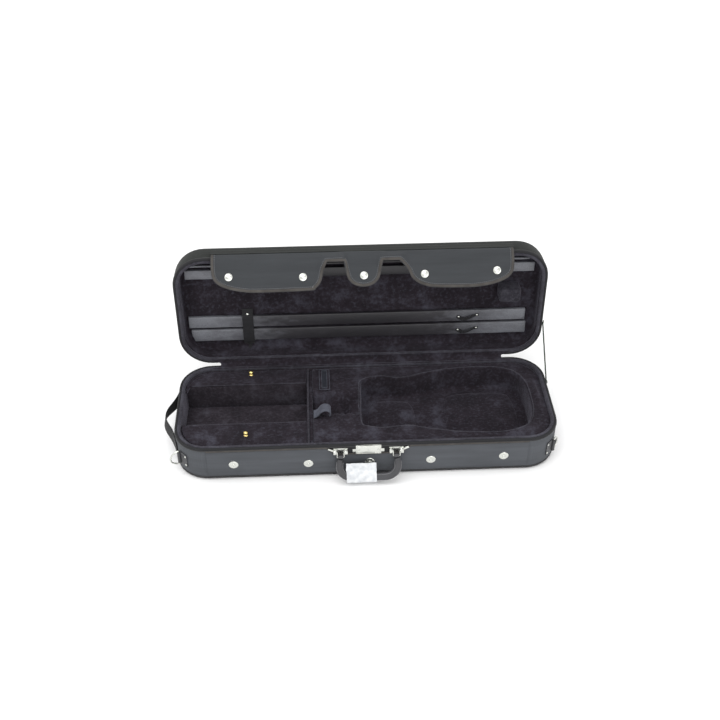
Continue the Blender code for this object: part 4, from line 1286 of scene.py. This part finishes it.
def flare(x, drop):
    """How far the band between the lobes stands out, so that it rides over the handle's lugs when shut."""
    near_lock = 1 - eased(abs(x), 0.034, 0.060)
    over_lock = 0.0017 * near_lock * eased(drop, -0.0100, -0.0030) * (1 - eased(drop, 0.010, 0.026))
    over_lugs = eased(abs(x), 0.026, 0.041) * (1 - eased(abs(x), 0.080, 0.100))
    return over_lock + 0.0062 * over_lugs * eased(drop, -0.0015, 0.0065) * (1 - eased(drop, 0.022, 0.044))


def long_lobe(start, end, slant, sign):
    """The edge of a lobe with two snaps, from its inner side to its outer one. sign says which side."""
    inner = [(start, NOTCH)] + [(start + share * slant, drop) for share, drop in LOBE_INNER]
    outer = [(end - inset, drop) for inset, drop in LOBE_OUTER]
    return along([Vector((sign * x, drop, 0)) for x, drop in inner + outer], 120)


def middle_lobe(low, high):
    """The edge of the lobe that closes over the lock."""
    centre, half = (low + high) / 2, (high - low) / 2
    left = [Vector((centre - share * half, drop, 0)) for share, drop in MIDDLE_SIDE]
    right = [Vector((centre + share * half, drop, 0)) for share, drop in reversed(MIDDLE_SIDE)]
    return along(left + [Vector((centre, 0.0688, 0))] + right, 60)


def flap_edge():
    """The flap's lower edge as (x, drop below the fold), from its left end to its right end."""
    left = long_lobe(0.0735, 0.314, 0.012, -1)[::-1]
    centre = middle_lobe(-0.0370, 0.0415)
    right = long_lobe(0.078, 0.319, 0.025, 1)
    gaps = ((left[-1], centre[0]), (centre[-1], right[0]))
    bridges = [[a.lerp(b, i / 12) for i in range(1, 12)] for a, b in gaps]
    return left + bridges[0] + centre + bridges[1] + right


def flap_place(x, drop):
    """A point on the middle of the sheet and its outward direction. A drop below 0 is back over the fold."""
    if drop >= STRAIGHT_FROM:
        at, face = FOLD + FLAP_DOWN * drop, FLAP_FACE
    else:
        share = min(1.0, (STRAIGHT_FROM - drop) / BEND_LENGTH) * (len(BEND_LINE) - 1)
        step = min(len(BEND_LINE) - 2, int(share))
        run = (BEND_LINE[step + 1] - BEND_LINE[step]).normalized()
        at, face = BEND_LINE[step].lerp(BEND_LINE[step + 1], share - step), Vector((0, -run.z, run.y))
    ease = unit(drop / 0.03)
    calm = 0.1 + 0.9 * eased(abs(x), 0.045, 0.090)
    wave = 0.0008 * math.sin(x / 0.047 + 0.6) + 0.0008 * noise.noise(Vector((x / 0.05, drop / 0.04, 2.0)))
    return Vector((x, at.y, at.z)) + face * (ease * calm * wave + flare(x, drop)), face


def flap_point(x, drop, proud=0.0):
    at, face = flap_place(x, drop)
    return at + face * proud


def drawn_in(line, depth):
    """A line of (x, drop) points moved towards the sheet's inside."""
    moved = []
    for i, p in enumerate(line):
        run = heading(line, i)
        moved.append(p + Vector((run.y, -run.x, 0)) * depth)
    return moved


def build_flap():
    """One canvas sheet sewn on the lid's front, hanging over its edge in three lobes, bound all round."""
    thick = 0.0030
    top = -0.0240
    edge = flap_edge()
    rows = 32
    sheets = []
    for proud in (thick / 2, -thick / 2):
        rings = []
        for p in edge:
            rings.append([flap_point(p.x, top + (p.y - top) * j / rows, proud) for j in range(rows + 1)])
        sheets.append(rings)
    bm = bmesh.new()
    close_sheet(bm, *sheets)
    bmesh.ops.remove_doubles(bm, verts=bm.verts, dist=1e-6)
    flap = piece("flap_canvas", bm, FLAP_CANVAS, crease=60, replaces=("flap",))
    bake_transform(flap)

    left_end = [Vector((edge[0].x, top * (1 - i / 10), 0)) for i in range(10)]
    right_end = [Vector((edge[-1].x, top * i / 10, 0)) for i in range(1, 11)]
    line = left_end + edge + right_end
    places = [flap_place(p.x, p.y) for p in drawn_in(line, 0.0030)]
    middle_line = [at for at, _ in places]
    sides = []
    for i, (_, face) in enumerate(places):
        sides.append(heading(middle_line, i).cross(face).normalized())
    binding = tube_piece(
        "flap_binding", middle_line, flat_section(0.0068, thick + 0.0009), BINDING, None, sides, crease=60,
    )
    build_flap_tape(edge[0].x - 0.002, edge[-1].x + 0.002)
    seam = [flap_place(p.x, p.y) for p in drawn_in(line, 0.0074)]
    thread = stitches(
        "flap_stitches", [at + face * (thick / 2 + 0.0001) for at, face in seam], [face for _, face in seam],
        PALE_THREAD, None, 0.0042, 0.0003,
    )
    for made in (binding, thread):
        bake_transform(made)
    return thick


def build_flap_tape(left, right):
    """A tape sewn over the flap's back edge and down on to the lid."""
    path = along([Vector((0, y, z)) for y, z in (
        (0.1600, 0.3647), (0.1650, 0.3638), (0.1710, 0.3630), (0.1765, 0.3622), (0.1795, 0.3600),
        (0.1815, 0.3580), (0.1850, 0.3573),
    )], 24)
    columns, thick = 60, 0.0008
    bm = bmesh.new()
    rings = []
    for i in range(columns + 1):
        x = left + (right - left) * i / columns
        lump = Vector((x, 0, 0.0003 * noise.noise(Vector((x / 0.03, 0, 5.0)))))
        top = [p + lump + UP * thick for p in path]
        rings.append(top + [p + lump for p in reversed(path)])
    cap_strip(bm, join_rings(bm, rings))
    tape = piece("flap_seam_tape", bm, SHADED_LID_CANVAS, "lid", crease=60)


# Profiles of a snap's cap, its stud and the nub in the stud, as (radius, height).
SNAP_CAP = (
    (0, 0.0030), (0.0022, 0.0029), (0.0040, 0.0026), (0.0050, 0.0021), (0.0056, 0.0020), (0.0064, 0.0025),
    (0.0074, 0.0026), (0.0083, 0.0019), (0.0086, 0.0006), (0.0086, -0.0002), (0, -0.0002),
)
SNAP_STUD = (
    (0, 0.0030), (0.0014, 0.0029), (0.0020, 0.0033), (0.0030, 0.0032), (0.0035, 0.0025), (0.0033, 0.0019),
    (0.0044, 0.0015), (0.0062, 0.0016), (0.0074, 0.0019), (0.0090, 0.0015), (0.0099, 0.0007), (0.0101, 0.0),
    (0, 0.0),
)
SNAP_NUB = ((0, 0.0042), (0.0012, 0.0040), (0.0016, 0.0034), (0.0016, 0.0026), (0, 0.0026))


def build_snaps(sheet_thick):
    """A domed cap on the flap and a grooved stud on the front wall for each snap."""
    for_wall = (0, -1, 0)
    for index in range(1, 6):
        at = middle(f"snap_cap_{index}")
        drop = (at - FOLD).dot(FLAP_DOWN)
        bm = bmesh.new()
        lathe(bm, SNAP_CAP, flap_point(at.x, drop, sheet_thick / 2), FLAP_FACE)
        name = f"snap_cap_{index}"
        piece(f"{name}_pressed", bm, NICKEL, "flap", crease=30, replaces=(name,))
        name = f"snap_stud_{index}"
        seat = middle(name)
        seat.y = node_box(name)[1].y - 0.0002
        bm = bmesh.new()
        lathe(bm, SNAP_STUD, seat, for_wall)
        lathe(bm, SNAP_NUB, seat + Vector((0, 0.0011, 0)), for_wall, 20)
        piece(f"{name}_pressed", bm, NICKEL, "base", crease=30, replaces=(name,))
    for index in (1, 5):
        at = middle(f"snap_stud_{index}")
        marks = [Vector((at.x + dx, at.y - 0.0002, at.z + 0.0135)) for dx in (-0.0042, 0.0042)]
        stitches(f"snap_marks_{index}", marks, for_wall, PALE_THREAD, "base", 0.0048, 0.0004)


# ---------------------------------------------------------------- handle, lock, rings, end handle


def smooth_group():
    """A modifier's nodes that shade a surface smooth, with edges over 32 degrees kept sharp."""
    group = bpy.data.node_groups.new("shade_by_angle", "GeometryNodeTree")
    group.interface.new_socket("Geometry", in_out="INPUT", socket_type="NodeSocketGeometry")
    group.interface.new_socket("Geometry", in_out="OUTPUT", socket_type="NodeSocketGeometry")
    source, sink, faces, edges, angle, compare = (group.nodes.new(kind) for kind in (
        "NodeGroupInput", "NodeGroupOutput", "GeometryNodeSetShadeSmooth", "GeometryNodeSetShadeSmooth",
        "GeometryNodeInputMeshEdgeAngle", "FunctionNodeCompare",
    ))
    faces.domain, edges.domain = "FACE", "EDGE"
    edges.inputs["Shade Smooth"].default_value = False
    compare.operation = "GREATER_THAN"
    compare.inputs[1].default_value = math.radians(32)
    link = group.links.new
    link(source.outputs[0], faces.inputs["Geometry"])
    link(faces.outputs[0], edges.inputs["Geometry"])
    link(angle.outputs["Unsigned Angle"], compare.inputs[0])
    link(compare.outputs[0], edges.inputs["Selection"])
    link(edges.outputs[0], sink.inputs[0])
    return group


def dress(node, mat, bevel, group):
    """Gives a kept CAD node its finish, slightly rounded edges and smooth shading."""
    obj = frame["nodes"][node]
    for material_slot in obj.material_slots:
        material_slot.material = mat
    weld = obj.modifiers.new("weld", "WELD")
    weld.merge_threshold = 0.00002
    if bevel:
        rounding = obj.modifiers.new("rounding", "BEVEL")
        rounding.width = bevel
        rounding.segments = 2
        rounding.limit_method = "ANGLE"
        rounding.angle_limit = math.radians(40)
    shading = obj.modifiers.new("shading", "NODES")
    shading.node_group = group


def dress_nodes():
    """Finishes for the CAD nodes that stay in sight."""
    group = smooth_group()
    hinges = [f"hinge_{part}_{index}" for index in (1, 2) for part in ("leaf_base", "leaf_lid", "pin")]
    lugs = ("handle_lug_left", "handle_lug_right")
    for node in ("lock_plate", "lock_slider", "hasp", "zip_slider", *lugs, *hinges):
        dress(node, NICKEL, 0.0002, group)
    for node in ("base_shell", "lid_shell"):
        dress(node, PLYWOOD, 0.0, group)
    dress("base_bottom_panel", BLACK_CANVAS, 0.0008, group)
    for word in ("left", "right"):
        dress(f"ring_tab_{word}", LEATHER, 0.0004, group)


def build_lock_details():
    """Screws in the lock and the hasp, and a raised rim on the lock's face."""
    low, high = node_box("lock_plate")
    face = low.y - 0.0001
    left, right, foot, top = low.x + 0.0022, high.x - 0.0022, low.z + 0.0014, high.z - 0.0014
    rim = [Vector((x, face, z)) for x, z in ((left, foot), (right, foot), (right, top), (left, top))]
    path = [p for a, b in zip(rim, rim[1:] + rim[:1]) for p in evenly([a, b], 16)[:-1]]
    tube_piece("lock_rim", path, round_section(0.0004, 6), NICKEL, "base", Vector((0, 1, 0)), cyclic=True)
    radius, height, outward = 0.0019, 0.0008, (0, -1, 0)
    for index, x in enumerate((low.x + 0.0062, high.x - 0.0062), start=1):
        at = (x, face, (low.z + high.z) / 2 + 0.001)
        rivet(f"lock_rivet_{index}", at, outward, radius, height, "base")
    low, high = node_box("hasp", SHUT)
    for index, x in enumerate((low.x + 0.0042, high.x - 0.0042), start=1):
        at = (x, high.y - 0.0014, high.z - 0.0045)
        rivet(f"hasp_rivet_{index}", at, outward, radius, height, "lid", True)


BAIL = Vector(JOINTS["handle_bails"]["pos_m"])
GRIP_PIVOT = Vector(JOINTS["handle_pivot"]["pos_m"])
DOWN = (GRIP_PIVOT - BAIL).normalized()
OUT = Vector((0, DOWN.z, -DOWN.y))
BAIL_X = 0.0575


def on_handle(x, drop, out=0.0):
    """A place on the hanging handle: x along the case, down from the pivot and out from its plane."""
    return GRIP_PIVOT + DOWN * drop + OUT * out + Vector((x, 0, 0))


def build_bails():
    """Bent wire bails, each turning in its lug at the top and carrying the grip at the bottom."""
    reach, half, bend, wire = 0.0130, 0.0070, 0.0016, 0.0012
    depth = (GRIP_PIVOT - BAIL).length
    for word, side in (("left", -1), ("right", 1)):
        corners = [(-reach, 0.0), (-half, 0.0), (-half, depth), (half, depth), (half, 0.0), (reach, 0.0)]
        path = []
        for before, (x, drop), after in zip([None, *corners[:-1]], corners, [*corners[1:], None]):
            here = BAIL + DOWN * drop + Vector((side * BAIL_X + x, 0, 0))
            if before is None or after is None:
                path.append(here)
                continue
            ends = []
            for other in (before, after):
                toward = BAIL + DOWN * other[1] + Vector((side * BAIL_X + other[0], 0, 0))
                ends.append(here + (toward - here).normalized() * bend)
            path += [ends[0].lerp(here, t).lerp(here.lerp(ends[1], t), t) for t in (0, 0.25, 0.5, 0.75, 1)]
        name = f"handle_bail_{word}"
        tube_piece(f"{name}_wire", path, round_section(wire, 10), NICKEL, "bails", OUT, replaces=(name,))


def build_grip():
    """A padded leather U with a stitched edge, whose ends are loops round the bails."""
    leg_x, bar_drop, bend, start = 0.0605, 0.0472, 0.027, 0.0044
    half, leg_steps, bend_steps, bar_steps = [], 8, 14, 12
    for i in range(leg_steps + 1):
        t = i / leg_steps
        half.append((leg_x - 0.0022 * (1 - t) ** 2, start + (bar_drop - bend - start) * t))
    for i in range(1, bend_steps + 1):
        angle = math.radians(90 * i / bend_steps)
        half.append((leg_x - bend * (1 - math.cos(angle)), bar_drop - bend * (1 - math.sin(angle))))
    half += [((leg_x - bend) * (1 - i / bar_steps), bar_drop) for i in range(1, bar_steps)]
    line = [(-x, d) for x, d in half] + [(0.0, bar_drop)] + half[::-1]
    count, facets = 96, 28
    path = evenly([on_handle(x, d) for x, d in line], count)
    width, thick = 0.0172, 0.0094
    rings = []
    for i, p in enumerate(path):
        across = heading(path, i).cross(OUT).normalized()
        neck = min(1.0, 0.66 + 0.034 * min(i, count - i))
        ring = []
        for k in range(facets):
            angle = 2 * math.pi * k / facets
            a, b = math.cos(angle), math.sin(angle)
            a = math.copysign(abs(a) ** 0.75, a) * width / 2 * neck
            b = math.copysign(abs(b) ** 0.62, b) * thick / 2 * (1.0 - 0.24 * (abs(a) / (width / 2)) ** 4)
            wrinkle = 1 + 0.02 * noise.noise(p / 0.006 + Vector((k * 0.2, 0, 0)))
            ring.append(p + (across * a + OUT * b) * wrinkle)
        rings.append(ring)
    bm = bmesh.new()
    rows = join_rings(bm, rings)
    bm.faces.new(rows[0])
    bm.faces.new(rows[-1])
    grip = piece("handle_grip_leather", bm, LEATHER, "handle", crease=60, replaces=("handle_grip",))
    loop_radius = 0.0030
    for word, side in (("left", -1), ("right", 1)):
        loop = []
        for i in range(21):
            angle = math.radians(-150 + 300 * i / 20)
            place = (-loop_radius * math.cos(angle), loop_radius * math.sin(angle))
            loop.append(on_handle(side * BAIL_X, *place))
        section = flat_section(0.0108, 0.0018)
        tube_piece(f"grip_loop_{word}", loop, section, LEATHER, "handle", Vector((1, 0, 0)))
    for word, share in (("outer", 0.40), ("inner", -0.36)):
        seam = []
        for i in range(3, count - 2):
            across = heading(path, i).cross(OUT).normalized()
            seam.append(path[i] - across * share * width + OUT * thick * 0.40)
        tube_piece(f"grip_cord_{word}", seam, round_section(0.0008, 6), LEATHER_EDGE, "handle", OUT)
        thread = [p + OUT * 0.0008 for p in seam]
        stitches(f"grip_stitches_{word}", thread, OUT, PALE_THREAD, "handle", 0.0034, 0.0003)
    return width, thick, bar_drop


def build_paper(width, thick, drop):
    """White packing paper wrapped once round the grip, with its ends hanging."""
    left, right, thin, columns = -0.046, 0.016, 0.0004, 32
    reach_in, reach_out = thick / 2 + 0.0007, thick / 2 + 0.0016
    top, bottom = drop - width / 2 - 0.0016, drop + width / 2 + 0.0018
    profile = (  # (drop, distance out), from behind the bar, round under it and up in front
        (top + 0.0004, -0.0024), (top + 0.0040, -reach_in), (drop, -reach_in), (bottom - 0.003, -reach_in),
        (bottom, -0.0030), (bottom + 0.0004, 0.0030), (bottom - 0.0030, reach_out),
        (drop, reach_out + 0.0006), (top + 0.001, reach_out + 0.0002), (top - 0.0060, 0.0054),
        (top - 0.0150, 0.0046), (top - 0.0250, 0.0056),
    )
    curve = along([Vector((0, d, o)) for d, o in profile], 48)
    layers = []
    for side in (1, -1):
        rings = []
        for i in range(columns + 1):
            t = i / columns
            ring = []
            for k, p in enumerate(curve):
                run = heading(curve, k)
                normal = Vector((0, -run.z, run.y))
                crumple = 0.0013 * noise.noise(Vector((t * 5, k / 7, 4.0)))
                crumple += 0.0006 * noise.noise(Vector((t * 14, k / 3, 9.0)))
                crumple *= 1.0 if p.z > 0 else 0.25
                skew = 0.0012 * noise.noise(Vector((t * 2, k / 6, 1.0))) - 0.0005 * (p.y - drop) / width
                at = p + normal * (thin / 2 * side + crumple)
                ring.append(on_handle(left + (right - left) * t - skew, at.y, at.z))
            rings.append(ring)
        layers.append(rings)
    bm = bmesh.new()
    close_sheet(bm, *layers)
    paper = piece("handle_paper", bm, PAPER, "handle", crease=50)


def build_rings():
    """D-rings bent from wire on stitched and riveted leather tabs at the two front corners."""
    wire, half, depth = 0.0018, 0.017, 0.019
    for word, side in (("left", -1), ("right", 1)):
        pivot = Vector(JOINTS[f"d_ring_{word}_swing"]["pos_m"])
        away = middle(f"d_ring_{word}") - pivot
        away.z = 0
        away.normalize()
        path = [pivot + UP * half * share for share in (0.6, 0.3, 0, -0.3, -0.6)]
        for i in range(25):
            angle = math.radians(-90 + 180 * i / 24)
            path.append(pivot + away * (depth * math.cos(angle)) + UP * half * math.sin(angle))
        name = f"d_ring_{word}"
        tube_piece(
            f"{name}_wire", evenly(path + path[:1], 64)[:-1], round_section(wire, 12), NICKEL, name,
            away.cross(UP), cyclic=True, replaces=(name,),
        )

        facing = Vector((side * math.sqrt(0.5), -math.sqrt(0.5), 0))
        along_wall = UP.cross(facing) * side
        corner = Vector((side * (HALF_LENGTH - CORNER), -HALF_WIDTH + CORNER, pivot.z))
        face = corner + facing * (CORNER + 0.0023)
        for index, rise in enumerate((-0.0115, 0.0115), start=1):
            at = face - along_wall * 0.0062 + UP * rise
            rivet(f"ring_rivet_{word}_{index}", at, facing, 0.0024, 0.0014, "base")
        upper = [(-0.004, 0.0150), (0.0068, 0.0150), (0.0092, 0.0130)]
        lower = [(a, -b) for a, b in reversed(upper)]
        edge = [face - along_wall * a + UP * b for a, b in upper + lower]
        stitches(f"ring_tab_stitches_{word}", edge, facing, PALE_THREAD, "base", 0.0030, 0.0003)


def end_wall(y, out):
    """x of the left end's wall at y, round its corners too, for a skin that lies this far out of it."""
    past = max(0.0, abs(y) - (HALF_WIDTH - CORNER))
    return -(HALF_LENGTH - CORNER) - math.sqrt((CORNER + out) ** 2 - past ** 2)


def build_end_handle():
    """A webbing loop on the left end. Its middle is gripped, so the web is folded narrower there."""
    low, high = node_box("end_handle")
    flat, out = 0.012, 0.00155
    bulge = -HALF_LENGTH - 2 * out + 0.0003 - low.x
    front, back = low.y + flat, high.y - flat
    centre_y, centre_z, half = (back + front) / 2, (low.z + high.z) / 2, (back - front) / 2
    path, widths = [], []
    places = [low.y + 0.001 + (flat - 0.001) * i / 5 for i in range(5)]
    places += [front + (back - front) * i / 44 for i in range(45)]
    places += [back + (flat - 0.001) * i / 5 for i in range(1, 6)]
    for y in places:
        u = max(-1.0, min(1.0, (y - centre_y) / half))
        bow = 0.5 * (1 + math.cos(math.pi * u))
        path.append(Vector((end_wall(y, out) - bulge * bow, y, centre_z + 0.0008 * math.sin(9 * u))))
        widths.append(1 - 0.26 * bow ** 1.5)
    rings = []
    for i, (p, share) in enumerate(zip(path, widths)):
        run = heading(path, i)
        twist = 0.20 * math.sin(math.pi * i / (len(path) - 1)) ** 2
        up = (UP * math.cos(twist) + run.cross(UP) * math.sin(twist)).normalized()
        section = flat_section(high.z - low.z - 0.002, 0.0023)
        rings.append([p + up * a * share + run.cross(up) * b for a, b in section])
    bm = bmesh.new()
    rows = join_rings(bm, rings)
    bm.faces.new(rows[0])
    bm.faces.new(rows[-1])
    piece("end_handle_webbing", bm, WEBBING, "base", crease=60, replaces=("end_handle",))
    for word, y in (("front", front - 0.004), ("back", back + 0.004)):
        x = end_wall(y, out + 0.0013)
        line = [Vector((x, y, low.z + 0.003 + (high.z - low.z - 0.006) * i / 10)) for i in range(11)]
        stitches(f"end_handle_stitches_{word}", line, (-1, 0, 0), PALE_THREAD, "base", 0.0032, 0.0003)


# ---------------------------------------------------------------- build

build_camera()
build_stage()
build_stay_cord()
build_rims()
build_base_cover()
build_front_canvas()
build_base_lining()
build_slot_lining()
build_boxes()
build_corner_velvet()
build_cradle()
build_pads()
build_neck_straps()
build_lid_cover()
build_lid_lining()
build_bow_rails()
build_bow_fittings()
build_lid_seam()
build_music_pocket()
build_snaps(build_flap())
build_lock_details()
build_bails()
build_paper(*build_grip())
build_rings()
build_end_handle()
dress_nodes()
